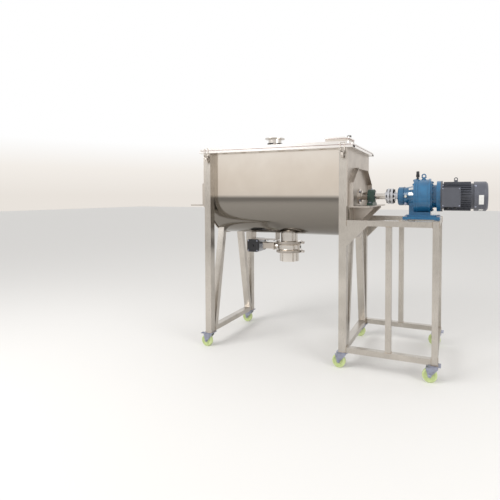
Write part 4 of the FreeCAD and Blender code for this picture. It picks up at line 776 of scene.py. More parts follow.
@dataclass
class TroughSet:
    """Seams of the trough: the bead along each end plate and the stitches under the rim."""

    machine: Machine
    bead: float = 4.0
    shell: float = 400.0

    def build(self) -> list[bpy.types.Object]:
        """Makes every piece of the set."""
        return [self.end_seams(), self.rim_stitches()]

    def end_seams(self) -> bpy.types.Object:
        """The bead that joins the rolled shell to each end plate, down one wall and up the other."""
        m = self.machine
        rise = m.rim_foot - m.shaft
        leg = self.bead
        section = [(self.shell - 1, 0), (self.shell + leg, 0), (self.shell + leg * 0.7, leg * 0.6),
                   (self.shell + leg * 0.3, leg * 0.95), (self.shell - 1, leg)]
        seam = spun(section, 48, 180.0)
        with editing(seam):
            pick_faces(lambda centre, normal: abs(normal.y) > 0.99 and abs(centre.y) < 1e-5)
            bpy.ops.mesh.extrude_region_move(TRANSFORM_OT_translate={"value": mm(0, -rise, 0)})
        places = [Matrix.Translation(mm(x, 0, m.shaft)) @ self.upright(way)
                  for x, way in ((m.left, 1), (m.right, -1))]
        return ready(copies(seam, places), "end_plate_seams", Shop.WELD, "machine")

    def upright(self, way: int) -> Matrix:
        """Turns a seam drawn on the floor so that it stands open side up, its foot on an end plate."""
        return Matrix(((0, 0, way, 0), (-way, 0, 0, 0), (0, -1, 0, 0), (0, 0, 0, 1)))

    def rim_stitches(self) -> bpy.types.Object:
        """Short runs that hold the rim bars to the walls, under the front and the back rim."""
        m = self.machine
        length, pitch = 60.0, 210.0
        count = int((m.right - m.left - 2 * m.leg) / pitch)
        places = [at(m.left + m.leg + pitch * (index + 0.5), y, m.rim_foot - 1, Axis.X)
                  for index in range(count) for y in (-self.shell - 2, self.shell + 2)]
        runs = copies(weld_run(length, self.bead * 0.7), places)
        return ready(runs, "rim_stitches", Shop.WELD, "machine", 60)


@dataclass
class BearingSet:
    """What is screwed into and around the two pillow blocks and the packing housings."""

    machine: Machine
    station: float = 128.0
    boss_half: float = 35.0
    journal: float = 37.5
    foot: float = 24.0
    block_top: float = 67.0
    seal_flange: float = 12.0
    seal_circle: float = 66.0
    bolt_half: float = 94.0

    def build(self) -> list[bpy.types.Object]:
        """Makes every piece of the set."""
        return [self.shields(), self.collars(), self.nipples(), self.drain_plugs(), self.gland_nuts(),
                self.foot_washers()]

    def stations(self) -> list[tuple[float, Axis]]:
        """Each block's middle along the shaft, and the way that it faces outward."""
        m = self.machine
        return [(m.left - m.end_sheet - self.station, Axis.MINUS_X),
                (m.right + m.end_sheet + self.station, Axis.X)]

    def faces(self) -> list[Matrix]:
        """The two faces of each boss, the piece's foot on the face."""
        m = self.machine
        return [at(x + side * self.boss_half, 0, m.shaft, way)
                for x, _ in self.stations() for side, way in ((-1, Axis.MINUS_X), (1, Axis.X))]

    def shields(self) -> bpy.types.Object:
        """Black rubber shields pressed into the bosses, with a groove and a lip on the shaft."""
        near = self.journal + 0.6
        section = [(near, -0.5), (near + 11, -0.5), (near + 11, 0.8), (near + 9, 1.6), (near + 7, 0.9),
                   (near + 4, 0.9), (near + 2.5, 2.4), (near, 3.0)]
        return ready(copies(spun(section, 56), self.faces()), "bearing_shields", Shop.BLACK,
                     "machine")

    def collars(self) -> bpy.types.Object:
        """Plain locking collars that turn with the shaft outside each block."""
        ring = spun(ring_section(self.journal - 0.2, 3.4, 9.0, 1.6, 0.5), 56)
        return ready(copies(ring, self.faces()), "shaft_locking_rings", Shop.STEEL,
                     "agitator")

    def nipples(self) -> bpy.types.Object:
        """A grease nipple on its boss, upright on top of each block."""
        m = self.machine
        boss = lathe([(9, -3), (8, 2), (7.4, 2.8)], 24)
        hexagon = disc(11 / math.sqrt(3), 5, 6, 2.8)
        tip = lathe([(4, 7.8), (4, 12), (2.3, 13), (2.3, 14.6), (3.4, 15.6), (3.2, 17.6), (1.4, 18.6)], 20)
        nipple = joined([boss, hexagon, tip])
        places = [at(x, 0, m.shaft + self.block_top - 1) for x, _ in self.stations()]
        return ready(copies(nipple, places), "grease_nipples", Shop.ZINC, "machine")

    def drain_plugs(self) -> bpy.types.Object:
        """A cast pad with a square-headed plug on the front of each block."""
        m = self.machine
        pad = lathe([(15, -4), (13, 2.5), (12, 3.2)], 28)
        head = block((9, 9, 6), (0, 0, 6.2))
        soften(head, 0.8, 1)
        plug = joined([pad, head])
        places = [at(x, -self.block_top, m.shaft - 20, Axis.MINUS_Y) for x, _ in self.stations()]
        return ready(copies(plug, places), "bearing_plugs", Shop.GREEN, "machine")

    def gland_nuts(self) -> bpy.types.Object:
        """Four nuts on studs round each packing housing."""
        m = self.machine
        places = []
        for x, way, side in ((m.left - m.end_sheet, Axis.MINUS_X, -1), (m.right + m.end_sheet, Axis.X, 1)):
            places += round_x(x + side * self.seal_flange, m.shaft, self.seal_circle, 4, way, 45)
        return ready(copies(hex_nut(10, 7, 3, 6), places), "gland_nuts", Shop.ZINC, "machine")

    def foot_washers(self) -> bpy.types.Object:
        """Round washers under the heads of the four foot bolts."""
        face = reach("pillow_blocks")[0].z + self.foot
        washer = spun(ring_section(8.4, 0, 8.6, 2.5, 0.5), 32)
        places = [at(x, y, face) for x, _ in self.stations() for y in (-self.bolt_half, self.bolt_half)]
        return ready(copies(washer, places), "foot_washers", Shop.ZINC, "machine")


@dataclass
class AgitatorSet:
    """Beads where the arms leave the shaft, set on the turning body."""

    machine: Machine
    shaft: float = 44.0
    arm: float = 16.0
    reach_x: float = 720.0

    def build(self) -> list[bpy.types.Object]:
        """Makes every piece of the set."""
        m = self.machine
        middle = (m.left + m.right) / 2
        bead = spun([(self.arm - 0.5, -1.2), (self.arm + 4.5, -2.6), (self.arm + 3.4, 1.2),
                     (self.arm + 1.2, 3.4), (self.arm - 0.5, 4.2)], 28)
        places = []
        for step in range(-4, 5):
            outer = 90 * abs(step)
            for turn in {outer % 360, (180 - outer) % 360}:
                way = Matrix.Rotation(math.radians(turn), 4, "X") @ Matrix.Translation(mm(0, 0, self.shaft))
                places.append(Matrix.Translation(mm(middle + self.reach_x * step / 4, 0, m.shaft)) @ way)
        return [ready(copies(bead, places), "arm_beads", Shop.WELD, "agitator")]


# ------------------------------------------------------------------ drive


@dataclass
class CouplingSet:
    """Washers, rubber rings and keys of the pin coupling, turning with the shafts."""

    machine: Machine
    pin_circle: float = 61.0
    pins: int = 6
    shaft: float = 30.0

    def build(self) -> list[bpy.types.Object]:
        """Makes every piece of the set."""
        return [self.rubbers(), self.washers(), self.keys(), self.grub_screws()]

    def span(self) -> tuple[float, float]:
        """Where the two flanges of the coupling start and end along the shaft."""
        low, high = reach("coupling_flanges")
        return low.x, high.x

    def rubbers(self) -> bpy.types.Object:
        """Barrelled rubber rings round the pins, seen in the gap between the flanges."""
        m = self.machine
        start_x, end_x = self.span()
        middle = (start_x + end_x) / 2
        ring = spun([(7.6, -5), (11.5, -4.6), (12.6, -2), (12.6, 2), (11.5, 4.6), (7.6, 5)], 28)
        places = round_x(middle, m.shaft, self.pin_circle, self.pins)
        return ready(copies(ring, places), "coupling_rubbers", Shop.BLACK, "agitator")

    def washers(self) -> bpy.types.Object:
        """Plain washers between the pins' nuts and the flange."""
        m = self.machine
        low, high = reach("coupling_pins")
        washer = spun(ring_section(8.2, 0, 7.2, 1.4, 0.3), 28)
        places = round_x(high.x - 10, m.shaft, self.pin_circle, self.pins)
        places += round_x(low.x + 10, m.shaft, self.pin_circle, self.pins, Axis.MINUS_X)
        return ready(copies(washer, places), "coupling_washers", Shop.OXIDE, "agitator")

    def keys(self) -> bpy.types.Object:
        """The key in each hub, its end seen beside the shaft."""
        m = self.machine
        start_x, end_x = self.span()
        key = block((10, 8, 26), (0, 0, 13))
        soften(key, 0.8, 1)
        top = m.shaft + self.shaft
        places = [at(start_x - 14, 0, top, Axis.X), at(end_x - 12, 0, top, Axis.X)]
        return ready(copies(key, places), "coupling_keys", Shop.STEEL, "agitator")

    def grub_screws(self) -> bpy.types.Object:
        """A socket grub screw over the key on each hub."""
        m = self.machine
        start_x, end_x = self.span()
        places = [at(x, 0, m.shaft + 45, Axis.Z) for x in (start_x + 9, end_x - 9)]
        screw = cap_screw(5.5, 2.0)
        return ready(copies(screw, places), "coupling_grub_screws", Shop.OXIDE, "agitator")


@dataclass
class GearboxSet:
    """Bolts, breather, oil pipe, sight glass, plugs and bare plates of the geared reducer."""

    machine: Machine
    rim: float = 18.0
    cover_rim: float = 14.0
    web_half: float = 86.0
    web_top: float = 60.0
    motor_flange: float = 16.0
    neck_start: float = 80.0
    neck_end: float = 100.0
    neck_low: float = 52.0
    neck_high: float = 151.0
    plate: tuple[float, float] = (46.0, 30.0)

    def build(self) -> list[bpy.types.Object]:
        """Makes every piece of the set."""
        return [self.rim_bolts(), self.cover_bolts(), self.motor_bolts(), self.rim_gaskets(), self.eye(),
                self.breather(), self.oil_pipe(), self.sight_glass(), self.drain_plug(), self.nose_seal(),
                self.plates(), self.foot_washers()]

    def rim_bolts(self) -> bpy.types.Object:
        """Bolts through the output housing's rim, all round but where the web of the foot is."""
        m = self.machine
        x = reach("gearbox_ring_case")[0].x - self.rim
        clear = m.shaft - self.web_top
        places = [place for place in round_x(x, m.shaft, 152.0, 12, Axis.MINUS_X, 15)
                  if place.translation.z > clear * MM or abs(place.translation.y) > self.web_half * MM]
        return ready(copies(hex_head(16, 9, 12), places), "ring_case_bolts", Shop.BLUE,
                     "machine")

    def cover_bolts(self) -> bpy.types.Object:
        """Ten bolts through the input cover's rim."""
        m = self.machine
        x = reach("gearbox_input_cover")[0].x + self.cover_rim
        places = round_x(x, m.shaft, 128.0, 10, Axis.X, 18)
        return ready(copies(hex_head(14, 8, 11), places), "input_cover_bolts", Shop.BLUE,
                     "machine")

    def motor_bolts(self) -> bpy.types.Object:
        """Four bolts that hold the motor's flange to the cover, heads on the motor side."""
        m = self.machine
        x = reach("gearbox_input_cover")[1].x + self.motor_flange
        places = round_x(x, m.shaft, 129.0, 4, Axis.X, 45)
        return ready(copies(hex_head(16, 7.5, 11.5), places), "motor_flange_bolts", Shop.ZINC,
                     "machine")

    def rim_gaskets(self) -> bpy.types.Object:
        """Thin paper gaskets that stand a hair proud between the castings."""
        low, high = reach("gearbox_ring_case")
        m = self.machine
        gaskets = []
        for x, radius in ((low.x, 165.0), (high.x, 143.0)):
            paper = spun(ring_section(radius - 15, -0.6, 15.5, 1.2, 0.2), 96)
            gaskets.append(copies(paper, [at(x, 0, m.shaft, Axis.X)]))
        return ready(joined(gaskets), "ring_case_gaskets", Shop.OXIDE, "machine")

    def eye(self) -> bpy.types.Object:
        """A forged lifting eye on the crown of the ring case."""
        low, high = reach("gearbox_ring_case")
        collar = lathe([(19, 0), (19, 5), (15, 8), (10, 12), (8, 16)], 28)
        ring = start(bpy.ops.mesh.primitive_torus_add, major_radius=17 * MM, minor_radius=5.5 * MM,
                     major_segments=40, minor_segments=12, location=mm(0, 0, 32),
                     rotation=(math.pi / 2, 0, 0))
        with editing(ring, "VERT"):
            pick_points(lambda point: point.z < 20 * MM)
            bpy.ops.transform.resize(value=(1.5, 1.0, 1.0), center_override=mm(0, 0, 16))
        place = at((low.x + high.x) / 2, 0, high.z - 6.5)
        return ready(copies(joined([collar, ring]), [place]), "lifting_eye", Shop.BLUE,
                     "machine")

    def breather(self) -> bpy.types.Object:
        """The hexagon and the ribbed grip of the breather, round its cap on the ring case."""
        high = reach("gearbox_fittings")[1]
        base = hex_head(24, 9)
        grip = lathe([(14.6, 14), (16.2, 15.5), (16.2, 40), (14.6, 42)], 36)
        with editing(grip):
            pick_faces(lambda centre, normal: abs(normal.z) < 0.1 and centre.z > 16 * MM)
            bpy.ops.mesh.inset(thickness=0.5 * MM, depth=-0.7 * MM, use_individual=True)
        dome = lathe([(14.2, 66), (13.4, 69), (10, 71), (4, 72)], 32)
        place = at(high.x - 14, 0, high.z - 68)
        return ready(copies(joined([base, grip, dome]), [place]), "breather_cap", Shop.BLACK,
                     "machine")

    def oil_pipe(self) -> bpy.types.Object:
        """The white bent pipe that leads oil from the top of the neck up to the ring case."""
        low = reach("gearbox_ring_case")[0]
        m = self.machine
        radius, bend, lean = 5.5, 22.0, math.radians(18)
        foot = Vector((low.x - 112, 0, m.shaft + self.neck_start - 2))
        pipe = disc(radius, 30.0, 20)
        pipe.matrix_world = Matrix.Translation(foot * MM) @ Matrix.Rotation(lean, 4, "Y")
        up = Vector((math.sin(lean), 0, math.cos(lean)))
        side = Vector((math.cos(lean), 0, -math.sin(lean)))
        elbow = foot + up * 30 + side * bend
        with editing(pipe):
            pick_faces(lambda centre, normal: normal.dot(up) > 0.99 and (centre - foot * MM).dot(up) > 0.02)
            bpy.ops.mesh.spin(steps=10, angle=math.pi / 2 - lean, center=elbow * MM, axis=(0, 1, 0))
            bpy.ops.mesh.extrude_region_move(TRANSFORM_OT_translate={"value": mm(low.x - 18 - elbow.x, 0, 0)})
        nuts = joined([copies(hex_head(16, 8), [at(*foot) @ Matrix.Rotation(lean, 4, "Y")]),
                       copies(hex_head(16, 8), [at(low.x - 18, 0, elbow.z + bend, Axis.MINUS_X)])])
        ready(nuts, "oil_pipe_nuts", Shop.ZINC, "machine")
        return ready(pipe, "oil_pipe", Shop.WHITE, "machine")

    def sight_glass(self) -> bpy.types.Object:
        """The sight glass on the neck: its hexagon bezel, and a clear lens inside."""
        m = self.machine
        low = reach("gearbox_fittings")[0]
        bezel = spun([(9, -1), (13.5, -1), (13.5, 4), (12.2, 5), (9.5, 5), (9, 4.4)], 6 * 8)
        place = at(low.x + 12, low.y, m.shaft, Axis.MINUS_Y)
        lens = lathe([(9.2, 0), (9.2, 2.2), (6.4, 3.1), (2.0, 3.6)], 32)
        ready(copies(lens, [place]), "sight_glass_lens", Shop.LENS, "machine")
        return ready(copies(bezel, [place]), "sight_glass_bezel", Shop.TURNED, "machine")

    def drain_plug(self) -> bpy.types.Object:
        """The hexagon plug below the sight glass, on its washer."""
        m = self.machine
        low = reach("gearbox_fittings")[0]
        place = at(low.x + 12, low.y, m.shaft - 72, Axis.MINUS_Y)
        return ready(copies(hex_head(19, 8, 13), [place]), "drain_plug", Shop.ZINC,
                     "machine")

    def nose_seal(self) -> bpy.types.Object:
        """The black lip seal round the output shaft in the gearbox's nose."""
        m = self.machine
        low = reach("gearbox_output_housing")[0]
        seal = spun([(30.4, 0), (54, 0), (54, 0.8), (50, 1.6), (42, 1.0), (34, 2.8), (30.4, 3.2)], 56)
        return ready(copies(seal, [at(low.x, 0, m.shaft, Axis.MINUS_X)]), "output_shaft_seal", Shop.BLACK,
                     "machine")

    def plates(self) -> bpy.types.Object:
        """Two bare name plates on the tapered side of the neck."""
        m = self.machine
        gear_x = reach("gearbox_output_housing")[0].x
        taper = math.atan2(self.neck_end - self.neck_start, self.neck_high - self.neck_low)
        along = 124.0
        radius = self.neck_start + (along - self.neck_low) * math.tan(taper) + 0.6
        seat = Matrix.Translation(mm(0, 0, radius)) @ Matrix.Rotation(-taper, 4, "Y")
        middle = Matrix.Translation(mm(gear_x + along, 0, m.shaft))
        places = [middle @ Matrix.Rotation(math.radians(lean), 4, "X") @ seat for lean in (42, 76)]
        return ready(copies(plaque(*self.plate), places), "gearbox_plates", Shop.PLAQUE,
                     "machine")

    def foot_washers(self) -> bpy.types.Object:
        """Washers under the heads of the gearbox's four foot bolts."""
        m = self.machine
        across = 128.0
        places = [at(x, y, m.stand_top + 24.0) for x in (m.right + 485.0, m.stand_end - 25.0)
                  for y in (-across, across)]
        washer = spun(ring_section(8.4, -0.4, 8.6, 2.0, 0.4), 32)
        return ready(copies(washer, places), "gearbox_foot_washers", Shop.ZINC, "machine")


@dataclass
class MotorSet:
    """Screws, gland, lifting eye and bare plates of the motor."""

    machine: Machine
    radius: float = 133.0
    box_inset: float = 11.0
    plates: tuple[tuple[float, float, float], ...] = ((14.0, 40.0, 86.0), (66.0, 36.0, 26.0))

    def build(self) -> list[bpy.types.Object]:
        """Makes every piece of the set."""
        return [self.box_screws(), self.box_gasket(), self.gland(), self.eye(), self.cowl_screws(),
                self.cowl_ribs(), self.name_plates()]

    def box_screws(self) -> bpy.types.Object:
        """A screw in each corner of the terminal box's lid."""
        low, high = reach("terminal_box")
        edge = self.box_inset
        places = [at(x, low.y, z, Axis.MINUS_Y) for x in (low.x + edge, high.x - edge)
                  for z in (low.z + edge, high.z - edge)]
        return ready(copies(cap_screw(5.5, 4.0), places), "terminal_box_screws", Shop.ZINC,
                     "machine")

    def box_gasket(self) -> bpy.types.Object:
        """The dark gasket line between the box and its lid."""
        low, high = reach("terminal_box")
        gasket = block((high.x - low.x - 3, 1.6, high.z - low.z - 3),
                       ((low.x + high.x) / 2, low.y + 10.4, (low.z + high.z) / 2))
        soften(gasket, 0.5, 1)
        return ready(gasket, "terminal_box_gasket", Shop.BLACK, "machine")

    def gland(self) -> bpy.types.Object:
        """Two closed cable glands under the terminal box."""
        low, high = reach("terminal_box")
        body = hex_head(30, 8)
        nut = lathe([(14, 8), (14, 14), (12.5, 19), (9.5, 23), (8.5, 24)], 24)
        plug = lathe([(8.0, 22), (7.4, 25), (4.5, 26.5)], 20)
        length = high.x - low.x
        places = [at(low.x + share * length, low.y + 48, low.z + 3, Axis.MINUS_Z) for share in (0.3, 0.7)]
        return ready(copies(joined([body, nut, plug]), places), "cable_glands", Shop.BLACK,
                     "machine")

    def eye(self) -> bpy.types.Object:
        """The cast pad and the lifting eye on top of the motor."""
        m = self.machine
        low = reach("motor_frame")[0]
        pad = block((40, 30, 22), (0, 0, -3))
        soften(pad, 4.0, 3)
        collar = lathe([(14, 7), (14, 11), (8, 14), (6, 17)], 24)
        ring = start(bpy.ops.mesh.primitive_torus_add, major_radius=13 * MM, minor_radius=4 * MM,
                     major_segments=36, minor_segments=12, location=mm(0, 0, 28),
                     rotation=(math.pi / 2, 0, 0))
        with editing(ring, "VERT"):
            pick_points(lambda point: point.z < 19 * MM)
            bpy.ops.transform.resize(value=(1.5, 1.0, 1.0), center_override=mm(0, 0, 15))
        whole = joined([pad, collar, ring])
        place = at(low.x + 130, 0, m.shaft + self.radius - 4)
        return ready(copies(whole, [place]), "motor_lifting_eye", Shop.GREY, "machine")

    def cowl_screws(self) -> bpy.types.Object:
        """Four screws round the fan cowl's open edge, each over a pressed dimple."""
        m = self.machine
        low = reach("fan_cover")[0]
        screw = joined([lathe([(11, -1), (9, 0.8), (8, 1.0)], 24), dome_head(6.0, 4.0)])
        places = []
        for index in range(4):
            turn = Matrix.Rotation(math.radians(45 + 90 * index), 4, "X")
            places.append(Matrix.Translation(mm(low.x + 10, 0, m.shaft)) @ turn
                          @ Matrix.Translation(mm(0, 0, self.radius - 0.4)))
        return ready(copies(screw, places), "cowl_screws", Shop.ZINC, "machine")

    def cowl_ribs(self) -> bpy.types.Object:
        """Two pressed beads round the fan cowl."""
        m = self.machine
        low = reach("fan_cover")[0]
        bead = spun([(self.radius - 0.6, -3.4), (self.radius + 0.7, -2), (self.radius + 1.2, 0),
                     (self.radius + 0.7, 2), (self.radius - 0.6, 3.4)], 96)
        places = [at(low.x + share, 0, m.shaft, Axis.X) for share in (26.0, 88.0)]
        return ready(copies(bead, places), "cowl_beads", Shop.COWL, "machine")

    def name_plates(self) -> bpy.types.Object:
        """Two bare plates, bent to the cowl on its camera side."""
        m = self.machine
        low, high = reach("fan_cover")
        made = []
        for lean, width, tall in self.plates:
            plate = plaque(width, tall, 0.8)
            modify(plate, "SUBSURF", subdivision_type="SIMPLE", levels=2, render_levels=2)
            for point in plate.data.vertices:
                bend = point.co.y / (self.radius * MM)
                far = self.radius * MM + point.co.z
                point.co = Vector((point.co.x, far * math.sin(bend), far * math.cos(bend) - self.radius * MM))
            turn = Matrix.Rotation(math.radians(90 + lean), 4, "X")
            plate.matrix_world = (Matrix.Translation(mm((low.x + high.x) / 2, 0, m.shaft)) @ turn
                                  @ Matrix.Translation(mm(0, 0, self.radius)))
            settle(plate)
            made.append(plate)
        return ready(joined(made), "motor_plates", Shop.PLAQUE, "machine")


# ------------------------------------------------------------------ discharge valve


@dataclass
class ValveSet:
    """Wing nuts, hinges, gaskets and the actuator's screws, ports and indicator."""

    machine: Machine
    clamp: float = 140.0
    clamp_sheet: float = 22.0
    rod_out: float = 157.0
    cap_half: float = 68.0

    def build(self) -> list[bpy.types.Object]:
        """Makes every piece of the set."""
        return [self.wing_nuts(), self.rod_nuts(), self.clamp_hinges(), self.seat_rings(), self.cap_screws(),
                self.ports(), self.indicator(), self.bracket_bolts(), self.stub_bead()]

    def middle(self) -> float:
        """The valve's place along the machine."""
        low, high = reach("outlet_spout")
        return (low.x + high.x) / 2

    def clamp_heights(self) -> tuple[float, float]:
        """The middle of the lower and of the upper clamp ring."""
        low, high = reach("valve_clamps")
        return low.z + self.clamp_sheet / 2, high.z - self.clamp_sheet / 2

    def wing_nuts(self) -> bpy.types.Object:
        """A wing nut on the near end of each clamp's rod."""
        boss = lathe([(10, 0), (10, 3), (8, 5), (7, 14), (5, 15)], 24)
        wing = block((11, 5, 12), (12, 0, 9))
        with editing(wing):
            pick_faces(lambda centre, normal: normal.x > 0.9)
            bpy.ops.mesh.extrude_region_move(TRANSFORM_OT_translate={"value": mm(7, 0, 6)})
            bpy.ops.transform.resize(value=(1.0, 0.7, 0.8))
            bpy.ops.mesh.extrude_region_move(TRANSFORM_OT_translate={"value": mm(5, 0, 5)})
            bpy.ops.transform.resize(value=(1.0, 0.8, 0.5))
        soften(wing, 1.6, 3, 30)
        wings = copies(wing, [Matrix.Identity(4), Matrix.Rotation(math.pi, 4, "Z")])
        nut = joined([boss, wings])
        places = [at(self.middle() + self.rod_out, -13, z, Axis.MINUS_Y, 25) for z in self.clamp_heights()]
        return ready(copies(nut, places), "clamp_wing_nuts", Shop.TURNED, "machine")

    def rod_nuts(self) -> bpy.types.Object:
        """A plain nut on the far end of each rod."""
        places = [at(self.middle() + self.rod_out, 13, z, Axis.Y) for z in self.clamp_heights()]
        return ready(copies(hex_head(14, 8, 9), places), "clamp_rod_nuts", Shop.TURNED,
                     "machine")

    def clamp_hinges(self) -> bpy.types.Object:
        """The hinge lug and its pin at the back of each clamp ring."""
        lug = block((26, 18, 15), (0, 0, 0))
        soften(lug, 3.0, 3)
        heads = copies(dome_head(6, 3), [at(0, 0, 13), at(0, 0, -13, Axis.MINUS_Z)])
        pin = joined([disc(4, 27, 20, -13.5), heads])
        hinge = joined([lug, pin])
        turn = Matrix.Rotation(math.radians(125), 4, "Z")
        out = turn @ Matrix.Translation(mm(self.clamp + 6, 0, 0))
        places = [Matrix.Translation(mm(self.middle(), 0, z)) @ out for z in self.clamp_heights()]
        return ready(copies(hinge, places), "clamp_hinges", Shop.TURNED, "machine")

    def seat_rings(self) -> bpy.types.Object:
        """The dark edge of the seat liner in each clamped joint."""
        ring = spun(ring_section(95.0, -1.5, self.clamp - 95.0 + 0.4, 3.0, 0.8), 96)
        places = [at(self.middle(), 0, z) for z in self.clamp_heights()]
        return ready(copies(ring, places), "valve_seat_rings", Shop.BLACK, "machine")

    def cap_screws(self) -> bpy.types.Object:
        """Four sunk screws in each cover of the actuator."""
        low, high = reach("actuator_caps")
        x, z = (low.x + high.x) / 2, (low.z + high.z) / 2
        edge = self.cap_half - 15
        face = high.y - 10
        places = [at(x + a * edge, side * face, z + b * edge, way)
                  for side, way in ((-1, Axis.MINUS_Y), (1, Axis.Y)) for a in (-1, 1) for b in (-1, 1)]
        return ready(copies(cap_screw(7.5, 5.0), places), "actuator_cap_screws", Shop.ZINC,
                     "machine")

    def ports(self) -> bpy.types.Object:
        """Two push-in air fittings on the actuator's far side from the valve."""
        low, high = reach("actuator_body")
        hexagon = hex_head(17, 8)
        sleeve = lathe([(8, 8), (8, 18), (7, 19), (7, 23), (8.6, 23), (8.6, 26), (7.8, 27)], 24)
        mouth = spun([(3, 26), (6.6, 26), (6.6, 28), (5.6, 29), (3, 29)], 24)
        x = low.x
        z = (low.z + high.z) / 2
        places = [at(x, y, z - 34, Axis.MINUS_X) for y in (-18, 18)]
        return ready(copies(joined([hexagon, sleeve, mouth]), places), "actuator_air_ports", Shop.BLACK,
                     "machine")

    def indicator(self) -> bpy.types.Object:
        """The black position dial on the end of the actuator's pinion."""
        low, high = reach("actuator_body")
        dial = lathe([(24, 0), (24, 5), (21, 8), (12, 9), (12, 14), (10, 16)], 36)
        bar = block((34, 6, 5), (0, 0, 16))
        soften(bar, 1.4, 2)
        place = at(low.x - 0.3, 0, (low.z + high.z) / 2, Axis.MINUS_X)
        return ready(copies(joined([dial, bar]), [place]), "position_dial", Shop.BLACK,
                     "discharge_disc")

    def bracket_bolts(self) -> bpy.types.Object:
        """Bolts up through the hanging plate into the actuator and the two hangers."""
        low = reach("actuator_mount")[0]
        plate_low = reach("actuator_body")[1].z
        places = [at(low.x + along, y, plate_low, Axis.MINUS_Z)
                  for along in (196, 272) for y in (-38, 38)]
        return ready(copies(hex_head(13, 7, 9), places), "bracket_bolts", Shop.ZINC,
                     "machine")

    def stub_bead(self) -> bpy.types.Object:
        """The bead between the discharge stub and its ferrule."""
        low = reach("outlet_stub")[0]
        bead = spun([(89.5, 0), (94, 0), (93, 2.2), (91.4, 3.6), (89.5, 4)], 72)
        return ready(copies(bead, [at(self.middle(), 0, low.z + self.clamp_sheet / 2)]), "stub_bead",
                     Shop.WELD, "machine")


# ------------------------------------------------------------------ lid


